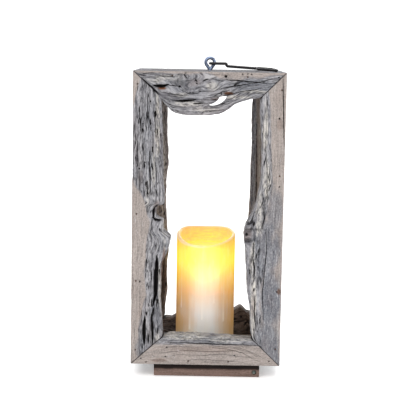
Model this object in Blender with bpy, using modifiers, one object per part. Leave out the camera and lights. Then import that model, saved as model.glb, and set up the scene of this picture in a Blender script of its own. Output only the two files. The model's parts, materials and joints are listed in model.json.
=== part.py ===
"""Hanging lantern: four mitred frames of live-edge driftwood boards round a top and a bottom
board, two feet, a screw eye with a wire bail, and a battery pillar candle on the bottom board.

Metres, +Z up. The origin is the centre of the lantern's plan, at the underside of its feet.
The front frame faces -Y. The bail is stored folded down to the right, resting on the top.
"""

import math

import bmesh
import bpy
import numpy as np
from mathutils import Matrix, Vector

# Wooden body
WIDTH = 0.190  # across the front and rear frames
DEPTH = 0.150  # front face to rear face
HEIGHT = 0.372  # every frame, lower edge to upper edge
FACE_THICK = 0.022  # boards of the front and rear frames
SIDE_THICK = 0.020  # boards of the two side frames
TOP_THICK = 0.012
FLOOR_THICK = 0.010
GAP = 0.0003  # left between pieces that touch

# Feet and their screws
FOOT_LENGTH = 0.136
FOOT_WIDTH = 0.030
FOOT_HEIGHT = 0.017
FOOT_SETBACK = 0.008  # from the face of the frame above
FOOT_SHIFT = 0.002  # the feet sit a little to the right
SCREW_RADIUS = 0.0017
SCREW_HEAD_RADIUS = 0.0034
SCREW_HEAD_DEPTH = 0.0022
SCREW_SINK = 0.0010  # head below the foot's underside
SCREW_BITE = 0.007  # length in the floor board
SCREW_END_MARGIN = 0.018  # from the foot's end

# Brads
BRAD_RADIUS = 0.0008
BRAD_BITE = 0.014  # length past the face board
BRAD_EDGE = 0.006  # from the outer edge of the frame
BRAD_CLEAR = 0.0003
BRAD_SINK = 0.0003

# Screw eye and bail
EYE_WIRE = 0.0021  # radii of the two wires
BAIL_WIRE = 0.0017
EYE_RADIUS = 0.0056  # centreline of the ring
EYE_RISE = 0.01035  # ring centre above the top board
BAIL_SAG = 0.0014  # the bail hangs this far below the ring's centre
EYE_BITE = 0.0095  # shank in the top board
NECK_CLEAR = 0.0022  # between the ring's wire and each leg of the bail
NECK_LENGTH = 0.0205  # from the pivot to the crank
CRANK_RUN = 0.0015
CRANK_DROP = 0.0033
BAIL_SHOULDER = 0.0605  # from the pivot to where the legs part
BAIL_REACH = 0.0842  # from the pivot to the crossbar
BAIL_SPREAD = 0.045  # half the crossbar's length
BAIL_CORNER = 0.006

# Candle
CANDLE_RADIUS = 0.0387
CANDLE_HEIGHT = 0.1535
CANDLE_SHIFT = -0.0013  # the candle stands a little to the left
RIM_WALL = 0.0045
CRATER_DEPTH = 0.022
CRATER_FLOOR = 0.010  # wax between the crater and the hollow
RIM_DIP = 0.017  # the melted rim is lower at the front
RIM_DIP_RADIUS = 0.040
SEAT = 0.001  # plastic base above the wax's lower edge
BASE_THICK = 0.003
CELL_RADIUS = 0.00525  # AAA cell
CELL_LENGTH = 0.0445
CELL_NUB = 0.0009
CONTACT_ROOM = 0.0037  # at each end of a cell
BOX_WALL = 0.0015
DOOR_THICK = 0.002
KNOB_SIZE = (0.0045, 0.0036)
KNOB_TRAVEL = 0.0035
SWITCH_OFFSET = 0.022  # from the candle's axis towards the front
SWITCH_SIZE = (0.012, 0.006, 0.005)
BOARD_SIZE = (0.022, 0.018, 0.0012)
STEM_RADIUS = 0.003
LED_RADIUS = 0.0025
LED_HEIGHT = 0.0085
LED_CLEAR = 0.022  # from the lens to the top of the hollow
ROUND_STEPS = 40

# Heights that follow from the sizes above
FRAME_Z = FOOT_HEIGHT + GAP
TOP_Z = FRAME_Z + HEIGHT
FLOOR_Z = FRAME_Z + FLOOR_THICK
CANDLE_Z = FLOOR_Z + GAP
RING_Z = TOP_Z + EYE_RISE
PIVOT_Z = RING_Z - BAIL_SAG
INNER_X = WIDTH / 2 - SIDE_THICK - GAP
INNER_Y = DEPTH / 2 - FACE_THICK - GAP

# A frame's corners are (stile width, rail depth) at the mitre's inner end. Its live edges are
# (share of the outer edge, width there): stiles run upwards, rails run to the right.
FRONT = {
    "corners": {"bl": (0.041, 0.037), "br": (0.036, 0.035), "tl": (0.0355, 0.033), "tr": (0.0325, 0.0325)},
    "left": [(0.22, 0.0373), (0.29, 0.0378), (0.355, 0.0392), (0.40, 0.0462), (0.443, 0.0494),
             (0.463, 0.0402), (0.499, 0.0398), (0.511, 0.0306), (0.544, 0.0310), (0.555, 0.0410),
             (0.60, 0.0398), (0.65, 0.0386), (0.77, 0.0380)],
    "right": [(0.125, 0.0374), (0.21, 0.0400), (0.26, 0.0436), (0.40, 0.0463), (0.452, 0.0488),
              (0.49, 0.0466), (0.524, 0.0395), (0.56, 0.0345), (0.59, 0.0321), (0.63, 0.0291),
              (0.75, 0.0285), (0.86, 0.0315)],
    "top": [(0.219, 0.0430), (0.285, 0.0532), (0.38, 0.0545), (0.50, 0.0538), (0.56, 0.0520),
            (0.63, 0.0459), (0.667, 0.0395), (0.715, 0.0364), (0.78, 0.0332)],
    "bottom": [(0.265, 0.0385), (0.40, 0.0386), (0.53, 0.0374), (0.67, 0.0360)],
}
REAR = {
    "corners": {"bl": (0.039, 0.0315), "br": (0.034, 0.0395), "tl": (0.037, 0.034), "tr": (0.037, 0.034)},
    "left": [(0.19, 0.0425), (0.26, 0.0410), (0.33, 0.0430), (0.39, 0.0425), (0.45, 0.0402),
             (0.52, 0.0385), (0.60, 0.0396), (0.67, 0.0420), (0.73, 0.0404), (0.84, 0.0398)],
    "right": [(0.13, 0.0350), (0.19, 0.0384), (0.285, 0.0405), (0.35, 0.0423), (0.40, 0.0415),
              (0.48, 0.0393), (0.55, 0.0384), (0.66, 0.0379), (0.73, 0.0371), (0.85, 0.0383)],
    "top": [(0.30, 0.0375), (0.42, 0.0340), (0.54, 0.0310), (0.66, 0.0365), (0.75, 0.0375)],
    "bottom": [(0.255, 0.0308), (0.285, 0.0345), (0.42, 0.0350), (0.58, 0.0390), (0.70, 0.0432),
               (0.728, 0.0465), (0.748, 0.0478), (0.768, 0.0458), (0.795, 0.0405)],
}
LEFT_SIDE = {
    "corners": {"bl": (0.026, 0.034), "br": (0.024, 0.036), "tl": (0.024, 0.033), "tr": (0.026, 0.035)},
    "left": [(0.17, 0.0225), (0.27, 0.0248), (0.36, 0.0300), (0.43, 0.0262), (0.55, 0.0215),
             (0.66, 0.0238), (0.76, 0.0276), (0.84, 0.0238)],
    "right": [(0.18, 0.0262), (0.30, 0.0228), (0.44, 0.0244), (0.56, 0.0302), (0.62, 0.0256),
              (0.74, 0.0228), (0.85, 0.0246)],
    "top": [(0.36, 0.0408), (0.50, 0.0440), (0.62, 0.0378)],
    "bottom": [(0.38, 0.0372), (0.52, 0.0350), (0.64, 0.0368)],
}
RIGHT_SIDE = {
    "corners": {"bl": (0.024, 0.035), "br": (0.026, 0.034), "tl": (0.026, 0.034), "tr": (0.024, 0.033)},
    "left": [(0.16, 0.0272), (0.28, 0.0232), (0.41, 0.0222), (0.50, 0.0282), (0.57, 0.0296),
             (0.68, 0.0236), (0.82, 0.0252)],
    "right": [(0.20, 0.0216), (0.33, 0.0264), (0.40, 0.0292), (0.52, 0.0236), (0.67, 0.0222),
              (0.78, 0.0270), (0.87, 0.0240)],
    "top": [(0.35, 0.0360), (0.49, 0.0396), (0.65, 0.0424)],
    "bottom": [(0.36, 0.0348), (0.50, 0.0384), (0.66, 0.0362)],
}
LEAF_HOLE_AT = 0.553  # share of the front top rail, from its left end
LEAF_HOLE = [(-0.0115, 0.0416), (-0.0050, 0.0388), (0.0005, 0.0347), (0.0022, 0.0316),
             (0.0065, 0.0303), (0.0113, 0.0304), (0.0092, 0.0350), (0.0045, 0.0390),
             (-0.0010, 0.0416), (-0.0066, 0.0426)]

# Brads through a face frame, as shares of its height or width.
FRONT_BRADS = {
    "left": (0.05, 0.29, 0.52, 0.955),
    "right": (0.06, 0.26, 0.655, 0.942),
    "top": (0.255, 0.745),
    "bottom": (0.387, 0.655),
}
REAR_BRADS = {"left": (0.08, 0.92), "right": (0.08, 0.92), "top": (), "bottom": ()}

FACE_GREY = (0.36, 0.34, 0.33)
SIDE_GREY = (0.32, 0.30, 0.29)
REAR_BROWN = (0.20, 0.16, 0.13)


def clear_scene():
    for item in list(bpy.data.objects):
        bpy.data.objects.remove(item)


def new_collection(name):
    collection = bpy.data.collections.new(name)
    bpy.context.scene.collection.children.link(collection)
    return collection


def finish_material(item, colour, roughness=0.8, metallic=0.0):
    material = bpy.data.materials.new(item.name)
    material.use_nodes = True
    shader = material.node_tree.nodes["Principled BSDF"]
    shader.inputs["Base Color"].default_value = (*colour, 1.0)
    shader.inputs["Roughness"].default_value = roughness
    shader.inputs["Metallic"].default_value = metallic
    item.data.materials.clear()
    item.data.materials.append(material)
    return item


def object_from(bm, name, collection, place=None):
    mesh = bpy.data.meshes.new(name)
    bm.to_mesh(mesh)
    bm.free()
    item = bpy.data.objects.new(name, mesh)
    collection.objects.link(item)
    if place:
        item.matrix_world = place
    return item


def smooth_shade(item):
    item.data.shade_smooth()
    item.data.set_sharp_from_angle(angle=math.radians(40))
    return item


def solid_from_curve(guide, name, collection):
    """The curve's evaluated shape as a mesh with its caps welded on."""
    bpy.context.view_layer.update()
    graph = bpy.context.evaluated_depsgraph_get()
    mesh = bpy.data.meshes.new_from_object(guide.evaluated_get(graph))
    bm = bmesh.new()
    bm.from_mesh(mesh)
    bmesh.ops.remove_doubles(bm, verts=bm.verts, dist=1e-6)
    bmesh.ops.recalc_face_normals(bm, faces=bm.faces)
    item = object_from(bm, name, collection, guide.matrix_world.copy())
    bpy.data.meshes.remove(mesh)
    bpy.data.objects.remove(guide)
    return item


def flat_board(name, rings, thick, place, colour):
    """A board from its outline, and any hole's, in its own plane."""
    curve = bpy.data.curves.new(f"{name}_outline", "CURVE")
    curve.dimensions = "2D"
    curve.fill_mode = "BOTH"
    curve.extrude = thick / 2
    for ring in rings:
        spline = curve.splines.new("POLY")
        spline.points.add(len(ring) - 1)
        spline.use_cyclic_u = True
        for point, (x, y) in zip(spline.points, ring):
            point.co = (x, y, 0, 1)
    guide = bpy.data.objects.new(curve.name, curve)
    PARTS.objects.link(guide)
    guide.matrix_world = place
    return finish_material(solid_from_curve(guide, name, PARTS), colour, 0.85)


def wire(name, points, radius, cyclic=False):
    """A round wire along a path of points."""
    curve = bpy.data.curves.new(f"{name}_path", "CURVE")
    curve.dimensions = "3D"
    curve.bevel_depth = radius
    curve.bevel_resolution = 2
    curve.use_fill_caps = True
    spline = curve.splines.new("POLY")
    spline.points.add(len(points) - 1)
    spline.use_cyclic_u = cyclic
    for point, place in zip(spline.points, points):
        point.co = (*place, 1)
    guide = bpy.data.objects.new(curve.name, curve)
    PARTS.objects.link(guide)
    return smooth_shade(solid_from_curve(guide, name, PARTS))


def rods(name, ends, radius, collection, sides=8):
    """Straight round rods, one for each pair of end points, in one object."""
    bm = bmesh.new()
    for start, end in ends:
        start = Vector(start)
        end = Vector(end)
        turn = (end - start).to_track_quat("Z", "Y").to_matrix().to_4x4()
        place = Matrix.Translation((start + end) / 2) @ turn
        bmesh.ops.create_cone(
            bm, cap_ends=True, segments=sides, radius1=radius, radius2=radius,
            depth=(end - start).length, matrix=place,
        )
    return object_from(bm, name, collection)


def block(name, low, high, collection):
    """A box between two corners."""
    size = Vector(high) - Vector(low)
    middle = (Vector(high) + Vector(low)) / 2
    bm = bmesh.new()
    place = Matrix.Translation(middle) @ Matrix.Diagonal((*size, 1))
    bmesh.ops.create_cube(bm, size=1, matrix=place)
    return object_from(bm, name, collection)


def turned(name, profile, place, steps=ROUND_STEPS, collection=None):
    """A turned piece: a half profile from axis to axis, down its outer side."""
    bm = bmesh.new()
    points = [bm.verts.new((radius, 0, height)) for radius, height in profile]
    for one, other in zip(points, points[1:]):
        bm.edges.new((one, other))
    item = object_from(bm, name, collection or PARTS, place)
    screw = item.modifiers.new("turn", "SCREW")
    screw.steps = steps
    screw.render_steps = steps
    screw.use_merge_vertices = True
    screw.merge_threshold = 0.00001
    screw.use_smooth_shade = False
    return item


def cut(item, cutter):
    boolean = item.modifiers.new(cutter.name, "BOOLEAN")
    boolean.operation = "DIFFERENCE"
    boolean.object = cutter
    boolean.solver = "EXACT"
    cutter.hide_render = True
    cutter.display_type = "WIRE"


def live_edge(stations, per_span=2):
    """Points along a smooth edge that passes through its stations and doesn't overshoot them."""
    along, width = np.array(stations).T
    span = np.diff(along)
    slope = np.diff(width) / span
    rate = np.zeros_like(width)
    for k, (before, after) in enumerate(zip(slope, slope[1:]), start=1):
        rate[k] = 0 if before * after <= 0 else 2 * before * after / (before + after)
    points = []
    for k, length in enumerate(span):
        for step in range(1 if k == 0 else 0, per_span):
            t = step / per_span
            value = (
                (1 + 2 * t) * (1 - t) ** 2 * width[k]
                + t * (1 - t) ** 2 * length * rate[k]
                + t * t * (3 - 2 * t) * width[k + 1]
                + t * t * (t - 1) * length * rate[k + 1]
            )
            points.append((along[k] + t * length, value))
    return points


def board_outline(start, end, inward, start_inner, end_inner, stations):
    """The outline of one mitred board.

    start and end are the frame's outer corners, inward points across the board, and each inner
    corner is (distance from that end, width). Both mitres stand back by half a gap.
    """
    start = Vector(start)
    end = Vector(end)
    inward = Vector(inward)
    length = (end - start).length
    along = (end - start) / length
    edge = [start_inner, *((share * length, width) for share, width in stations),
            (length - end_inner[0], end_inner[1])]

    def mitre(distance, width, side):
        """The seam's outer and inner end, for the start (side 1) or the end (side -1)."""
        seam = Vector((distance, width)).normalized()
        normal = Vector((seam.y, -seam.x))
        outer = Vector((GAP / 2 / normal.x, 0))
        inner = Vector((distance, width)) + normal * (GAP / 2)
        corner = start if side == 1 else end
        return [corner + along * (side * point.x) + inward * point.y for point in (outer, inner)]

    outer_a, inner_a = mitre(*start_inner, 1)
    outer_b, inner_b = mitre(*end_inner, -1)
    middle = [start + along * s + inward * w for s, w in live_edge(edge)]
    return [outer_a, inner_a, *middle, inner_b, outer_b]


def frame(prefix, width, shape, thick, place, colour, hole=None):
    """Two stiles and two rails, in the plane of the frame, seen from its outer face."""
    half = width / 2
    corner = shape["corners"]

    def flip(key):
        return corner[key][1], corner[key][0]

    sides = {
        "left_stile": ((-half, 0), (-half, HEIGHT), (1, 0), flip("bl"), flip("tl"), "left"),
        "right_stile": ((half, 0), (half, HEIGHT), (-1, 0), flip("br"), flip("tr"), "right"),
        "top_rail": ((-half, HEIGHT), (half, HEIGHT), (0, -1), corner["tl"], corner["tr"], "top"),
        "bottom_rail": ((-half, 0), (half, 0), (0, 1), corner["bl"], corner["br"], "bottom"),
    }
    boards = {}
    for name, (start, end, inward, first, last, key) in sides.items():
        rings = [board_outline(start, end, inward, first, last, shape[key])]
        if hole and name == "top_rail":
            rings.append(hole)
        boards[name] = flat_board(f"{prefix}_{name}", rings, thick, place, colour)
    return boards


def standing(x, y, turn):
    """Stands a flat frame up at (x, y), its outer face turned from -Y by an angle about Z."""
    upright = Matrix.Rotation(math.radians(90), 4, "X")
    return Matrix.Translation((x, y, FRAME_Z)) @ Matrix.Rotation(turn, 4, "Z") @ upright


def build_frames():
    side_width = DEPTH - 2 * (FACE_THICK + GAP)
    face_y = DEPTH / 2 - FACE_THICK / 2
    side_x = WIDTH / 2 - SIDE_THICK / 2
    centre = (LEAF_HOLE_AT - 0.5) * WIDTH
    leaf = [(centre + x, HEIGHT - depth) for x, depth in LEAF_HOLE]
    return {
        "front": frame("front", WIDTH, FRONT, FACE_THICK, standing(0, -face_y, 0), FACE_GREY, leaf),
        "rear": frame("rear", WIDTH, REAR, FACE_THICK, standing(0, face_y, 0), REAR_BROWN),
        "left": frame("left_side", side_width, LEFT_SIDE, SIDE_THICK,
                      standing(-side_x, 0, -math.pi / 2), SIDE_GREY),
        "right": frame("right_side", side_width, RIGHT_SIDE, SIDE_THICK,
                       standing(side_x, 0, math.pi / 2), SIDE_GREY),
    }


def build_plates():
    """The top and bottom boards, inside the four frames."""
    top = block("top_board", (-INNER_X, -INNER_Y, TOP_Z - TOP_THICK), (INNER_X, INNER_Y, TOP_Z), PARTS)
    floor = block("bottom_board", (-INNER_X, -INNER_Y, FRAME_Z), (INNER_X, INNER_Y, FLOOR_Z), PARTS)
    finish_material(top, SIDE_GREY, 0.85)
    finish_material(floor, REAR_BROWN, 0.85)
    return top, floor


def face_brads(name, places, face, frames, plates):
    """Brads through a face frame into the side frames and the top and bottom boards."""
    outer = face * (DEPTH / 2 - BRAD_SINK)
    inner = face * (DEPTH / 2 - FACE_THICK - BRAD_BITE)
    edge = WIDTH / 2 - BRAD_EDGE
    spots = [(-edge, FRAME_Z + share * HEIGHT) for share in places["left"]]
    spots += [(edge, FRAME_Z + share * HEIGHT) for share in places["right"]]
    spots += [((share - 0.5) * WIDTH, TOP_Z - TOP_THICK / 2) for share in places["top"]]
    spots += [((share - 0.5) * WIDTH, FRAME_Z + FLOOR_THICK / 2) for share in places["bottom"]]
    for number, (x, z) in enumerate(spots, start=1):
        brad = rods(f"{name}_{number:02d}", [((x, outer, z), (x, inner, z))], BRAD_RADIUS, PARTS)
        finish_material(brad, (0.12, 0.10, 0.09), 0.5, 0.9)
    mouth = outer + face * 0.001
    ends = [((x, mouth, z), (x, inner - face * BRAD_CLEAR, z)) for x, z in spots]
    holes = rods(f"{name}_holes", ends, BRAD_RADIUS + BRAD_CLEAR, CUTTERS)
    for board in [*frames, *plates]:
        cut(board, holes)


def build_brads(frames, plates):
    left, right = frames["left"], frames["right"]
    # A side frame is seen from outside, so its front stile is the right one on the left side.
    front_sides = [left["right_stile"], right["left_stile"]]
    rear_sides = [left["left_stile"], right["right_stile"]]
    rails = [side[rail] for side in (left, right) for rail in ("top_rail", "bottom_rail")]
    front_boards = [*frames["front"].values(), *front_sides, *rails]
    face_brads("front_brad", FRONT_BRADS, -1, front_boards, plates)
    rear_boards = [*frames["rear"].values(), *rear_sides, *rails]
    face_brads("rear_brad", REAR_BRADS, 1, rear_boards, ())


def build_feet(floor):
    feet = []
    for name, side in (("front_foot", -1), ("rear_foot", 1)):
        outer = side * (DEPTH / 2 - FOOT_SETBACK)
        inner = outer - side * FOOT_WIDTH
        low = (FOOT_SHIFT - FOOT_LENGTH / 2, min(outer, inner), 0)
        high = (FOOT_SHIFT + FOOT_LENGTH / 2, max(outer, inner), FOOT_HEIGHT)
        foot = finish_material(block(name, low, high, PARTS), (0.17, 0.11, 0.09), 0.8)
        feet.append(foot)
    # Each screw goes up through the foot's inner half, which lies under the floor board.
    screw_y = INNER_Y - SCREW_HEAD_RADIUS - 0.003
    screw_x = FOOT_LENGTH / 2 - SCREW_END_MARGIN
    rim = SCREW_SINK + 0.0004
    head = SCREW_SINK + SCREW_HEAD_DEPTH
    tip = FRAME_Z + SCREW_BITE
    hole = SCREW_RADIUS + GAP
    wide = SCREW_HEAD_RADIUS + GAP
    for name, x, y in (
        ("front_left_foot_screw", -screw_x, -screw_y),
        ("front_right_foot_screw", screw_x, -screw_y),
        ("rear_left_foot_screw", -screw_x, screw_y),
        ("rear_right_foot_screw", screw_x, screw_y),
    ):
        place = Matrix.Translation((x + FOOT_SHIFT, y, 0))
        screw = turned(name, [
            (0, tip), (SCREW_RADIUS, tip - 0.002), (SCREW_RADIUS, head), (SCREW_HEAD_RADIUS, rim),
            (SCREW_HEAD_RADIUS, SCREW_SINK), (0, SCREW_SINK),
        ], place, 12)
        finish_material(screw, (0.45, 0.45, 0.46), 0.35, 1.0)
        socket = turned(f"{name}_hole", [
            (0, tip + GAP), (hole, tip + GAP), (hole, head + GAP), (wide, rim + GAP), (wide, -0.001),
            (0, -0.001),
        ], place, 12, CUTTERS)
        for board in [*feet, floor]:
            cut(board, socket)


def arc(centre, radius, start, end, steps, plane="xz"):
    """Points on an arc, in degrees from the plane's first axis towards its second."""
    points = []
    for k in range(steps + 1):
        angle = math.radians(start + (end - start) * k / steps)
        one, two = radius * math.cos(angle), radius * math.sin(angle)
        points.append(Vector(centre) + Vector((one, 0, two) if plane == "xz" else (one, two, 0)))
    return points


def build_screw_eye(top):
    """A wire shank bent into a ring, whose end closes towards the neck."""
    centre = Vector((0, 0, RING_Z))
    neck_drop = EYE_RISE - 0.0007
    tangent = math.degrees(math.acos(EYE_RADIUS / neck_drop))
    ring = arc(centre, EYE_RADIUS, 270 - tangent, -90 + tangent, 20)
    neck = centre - Vector((0, 0, neck_drop))
    way = (ring[-1] - neck).normalized()
    # The free end stops where the two legs of the neck would touch.
    stop = (EYE_WIRE + GAP / 2) / abs(way.x)
    shank = [Vector((0, 0, TOP_Z - EYE_BITE)), neck - Vector((0, 0, 0.001)), neck]
    eye = wire("screw_eye", [*shank, *ring, neck + way * stop], EYE_WIRE)
    finish_material(eye, (0.55, 0.58, 0.62), 0.3, 1.0)
    hole = rods(
        "screw_eye_hole",
        [((0, 0, TOP_Z - EYE_BITE - GAP), (0, 0, TOP_Z + 0.001))],
        EYE_WIRE + GAP, CUTTERS, 12,
    )
    cut(top, hole)


def build_bail():
    """A closed wire loop: a narrow neck through the eye, a crank, two legs, and a wide handle."""
    neck = EYE_WIRE + BAIL_WIRE + NECK_CLEAR
    low = EYE_RISE - BAIL_SAG - BAIL_WIRE - GAP
    slope_start = NECK_LENGTH + CRANK_RUN

    def height(x):
        share = (x - slope_start) / (BAIL_REACH - slope_start)
        return -CRANK_DROP - share * (low - CRANK_DROP)

    nose = arc((neck, 0, 0), neck, 180, 90, 5, "xy")
    side = [
        *nose,
        Vector(((neck + NECK_LENGTH) / 2, neck, 0)),
        Vector((NECK_LENGTH, neck, 0)),
        Vector((slope_start, neck, height(slope_start))),
        Vector(((slope_start + BAIL_SHOULDER) / 2, neck, height((slope_start + BAIL_SHOULDER) / 2))),
    ]
    inner_y, outer_y = neck + BAIL_CORNER, BAIL_SPREAD - BAIL_CORNER
    turns = (
        ((BAIL_SHOULDER - BAIL_CORNER, inner_y), -90, 0),
        ((BAIL_SHOULDER + BAIL_CORNER, outer_y), 180, 90),
        ((BAIL_REACH - BAIL_CORNER, outer_y), 90, 0),
    )
    for (x, y), start, end in turns:
        bend = arc((x, y, 0), BAIL_CORNER, start, end, 5, "xy")
        side += [Vector((point.x, point.y, height(point.x))) for point in bend]
    other = [Vector((p.x, -p.y, p.z)) for p in reversed(side[1:])]
    pivot = Vector((0, 0, PIVOT_Z))
    loop = wire("bail_wire", [p + pivot for p in [*side, *other]], BAIL_WIRE, cyclic=True)
    finish_material(loop, (0.03, 0.026, 0.025), 0.45, 0.8)
    hinge = bpy.data.objects.new("bail_pivot", None)
    PARTS.objects.link(hinge)
    hinge.location = pivot
    bpy.context.view_layer.update()
    loop.parent = hinge
    loop.matrix_parent_inverse = hinge.matrix_world.inverted()


def build_wax(place, cavity_radius):
    rim = CANDLE_HEIGHT
    crater = rim - CRATER_DEPTH
    inner = CANDLE_RADIUS - RIM_WALL
    round_edge = 0.002
    wax = turned("candle_wax", [
        (0, crater),
        (inner - 0.006, crater + 0.001),
        (inner, crater + 0.007),
        (inner + 0.0005, rim - round_edge / 2),
        (inner + round_edge, rim),
        (CANDLE_RADIUS - round_edge, rim),
        (CANDLE_RADIUS, rim - round_edge),
        (CANDLE_RADIUS, 0.001),
        (CANDLE_RADIUS - 0.001, 0),
        (cavity_radius, 0),
        (cavity_radius, crater - CRATER_FLOOR),
        (0, crater - CRATER_FLOOR),
    ], place)
    # A round scoop lowers the front of the rim, where the wax has melted away.
    scoop_z = CANDLE_Z + rim - RIM_DIP + RIM_DIP_RADIUS
    scoop = rods("rim_scoop", [((0, -CANDLE_RADIUS - 0.01, scoop_z), (0, -CANDLE_RADIUS / 2, scoop_z))],
                 RIM_DIP_RADIUS, CUTTERS, 32)
    cut(wax, scoop)
    finish_material(wax, (0.86, 0.78, 0.62), 0.45)


def build_cell(name, place):
    body = CELL_LENGTH / 2 - CELL_NUB
    item = turned(name, [
        (0, CELL_LENGTH / 2),
        (CELL_RADIUS * 0.36, CELL_LENGTH / 2),
        (CELL_RADIUS * 0.36, body),
        (CELL_RADIUS, body),
        (CELL_RADIUS, -CELL_LENGTH / 2),
        (0, -CELL_LENGTH / 2),
    ], place, 20)
    finish_material(item, (0.10, 0.10, 0.11), 0.4, 0.3)


def build_spring(turns, radius, length, place):
    """Points of a contact spring that widens towards the box's wall."""
    count = turns * 8
    points = []
    for k in range(count + 1):
        share = k / count
        angle = share * turns * math.tau
        reach = radius * (0.55 + 0.45 * share)
        points.append(place @ Vector((reach * math.cos(angle), reach * math.sin(angle), share * length)))
    return points


def build_candle():
    place = Matrix.Translation((0, 0, CANDLE_Z))
    pitch = CELL_RADIUS + 0.0004  # each cell's axis from the middle
    room = (CELL_LENGTH + 2 * CONTACT_ROOM, 2 * (pitch + CELL_RADIUS) + 0.0008)
    outer = (room[0] + 2 * BOX_WALL, room[1] + 2 * BOX_WALL)
    cavity_radius = math.hypot(outer[0] / 2, outer[1] / 2) + 0.0008
    build_wax(place, cavity_radius)

    base_z = CANDLE_Z + SEAT
    base_top = base_z + BASE_THICK
    plate = turned("candle_base", [
        (0, SEAT + BASE_THICK), (cavity_radius - GAP, SEAT + BASE_THICK), (cavity_radius - GAP, SEAT),
        (0, SEAT),
    ], place)
    plastic = (0.80, 0.76, 0.68)
    finish_material(plate, plastic, 0.5)
    cut(plate, block("door_opening", (-room[0] / 2, -room[1] / 2, base_z - 0.001),
                     (room[0] / 2, room[1] / 2, base_top + 0.001), CUTTERS))
    door = block("battery_door", (-room[0] / 2 + GAP, -room[1] / 2 + GAP, base_z),
                 (room[0] / 2 - GAP, room[1] / 2 - GAP, base_z + DOOR_THICK), PARTS)
    finish_material(door, plastic, 0.5)

    cell_z = base_z + DOOR_THICK + GAP + CELL_RADIUS
    box_low = base_top + GAP
    box_inner = cell_z + CELL_RADIUS + 0.0006
    box = block("battery_box", (-outer[0] / 2, -outer[1] / 2, box_low),
                (outer[0] / 2, outer[1] / 2, box_inner + BOX_WALL), PARTS)
    finish_material(box, plastic, 0.5)
    cut(box, block("battery_room", (-room[0] / 2, -room[1] / 2, box_low - 0.001),
                   (room[0] / 2, room[1] / 2, box_inner), CUTTERS))

    metal = (0.7, 0.7, 0.7)
    for name, y, way in (("front_battery", -pitch, 1), ("rear_battery", pitch, -1)):
        turn = Matrix.Rotation(way * math.pi / 2, 4, "Y")
        build_cell(name, Matrix.Translation((0, y, cell_z)) @ turn)
        back = -way * (CELL_LENGTH / 2 + GAP + 0.0004)
        toward = Matrix.Rotation(-way * math.pi / 2, 4, "Y")
        length = CONTACT_ROOM - 2 * GAP - 0.0008
        spring_place = Matrix.Translation((back, y, cell_z)) @ toward
        spring = wire(f"{name}_spring", build_spring(2, 0.0036, length, spring_place), 0.0004)
        finish_material(spring, metal, 0.3, 1.0)
        ends = sorted((way * (CELL_LENGTH / 2 + GAP), way * (CELL_LENGTH / 2 + CONTACT_ROOM - GAP)))
        tab = block(f"{name}_tab", (ends[0], y - 0.0035, cell_z - 0.0035),
                    (ends[1], y + 0.0035, cell_z + 0.0035), PARTS)
        finish_material(tab, metal, 0.3, 1.0)

    slot = (KNOB_SIZE[0] + KNOB_TRAVEL + 2 * GAP, KNOB_SIZE[1] + 2 * GAP)
    y = -SWITCH_OFFSET
    cut(plate, block("switch_slot", (-slot[0] / 2, y - slot[1] / 2, base_z - 0.001),
                     (slot[0] / 2, y + slot[1] / 2, base_top + 0.001), CUTTERS))
    knob_low = (-slot[0] / 2 + GAP, y - KNOB_SIZE[1] / 2, base_z + 0.0003)
    knob_high = (knob_low[0] + KNOB_SIZE[0], y + KNOB_SIZE[1] / 2, base_top)
    knob = block("power_switch", knob_low, knob_high, PARTS)
    finish_material(knob, (0.03, 0.03, 0.03), 0.4)
    body = block("switch_body", (-SWITCH_SIZE[0] / 2, y - SWITCH_SIZE[1] / 2, base_top + GAP),
                 (SWITCH_SIZE[0] / 2, y + SWITCH_SIZE[1] / 2, base_top + GAP + SWITCH_SIZE[2]), PARTS)
    finish_material(body, (0.05, 0.05, 0.05), 0.4)

    board_z = box_inner + BOX_WALL + GAP
    half_x, half_y = BOARD_SIZE[0] / 2, BOARD_SIZE[1] / 2
    board_top = board_z + BOARD_SIZE[2]
    board = block("circuit_board", (-half_x, -half_y, board_z), (half_x, half_y, board_top), PARTS)
    finish_material(board, (0.05, 0.22, 0.12), 0.4)
    stem_low = board_top + GAP
    hollow_top = CANDLE_Z + CANDLE_HEIGHT - CRATER_DEPTH - CRATER_FLOOR
    lens_low = hollow_top - LED_CLEAR - LED_HEIGHT
    stem = rods("led_stem", [((0, 0, stem_low), (0, 0, lens_low - GAP))], STEM_RADIUS, PARTS, 16)
    finish_material(smooth_shade(stem), plastic, 0.5)
    lens = turned("led_lens", [
        (0, LED_HEIGHT),
        (LED_RADIUS * 0.55, LED_HEIGHT - LED_RADIUS * 0.18),
        (LED_RADIUS * 0.9, LED_HEIGHT - LED_RADIUS * 0.6),
        (LED_RADIUS, LED_HEIGHT - LED_RADIUS),
        (LED_RADIUS, 0.001),
        (LED_RADIUS * 1.15, 0.001),
        (LED_RADIUS * 1.15, 0),
        (0, 0),
    ], Matrix.Translation((0, 0, lens_low)), 16)
    finish_material(lens, (1.0, 0.75, 0.35), 0.2)


def stand_candle():
    """Hangs the candle's parts and cutters from one empty, on the axis that the candle lifts along."""
    candle = bpy.data.objects.new("candle_axis", None)
    PARTS.objects.link(candle)
    for name in (
        "candle_wax", "candle_base", "battery_door", "battery_box", "front_battery", "rear_battery",
        "front_battery_spring", "rear_battery_spring", "front_battery_tab", "rear_battery_tab",
        "switch_body", "power_switch", "circuit_board", "led_stem", "led_lens",
    ):
        PARTS.objects[name].parent = candle
    for name in ("rim_scoop", "door_opening", "battery_room", "switch_slot"):
        CUTTERS.objects[name].parent = candle
    candle.location = (CANDLE_SHIFT, 0, 0)


clear_scene()
PARTS = new_collection("hanging_lantern")
CUTTERS = new_collection("cutters")
FRAMES = build_frames()
TOP, FLOOR = build_plates()
build_brads(FRAMES, (TOP, FLOOR))
build_feet(FLOOR)
build_screw_eye(TOP)
build_bail()
build_candle()
stand_candle()
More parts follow.
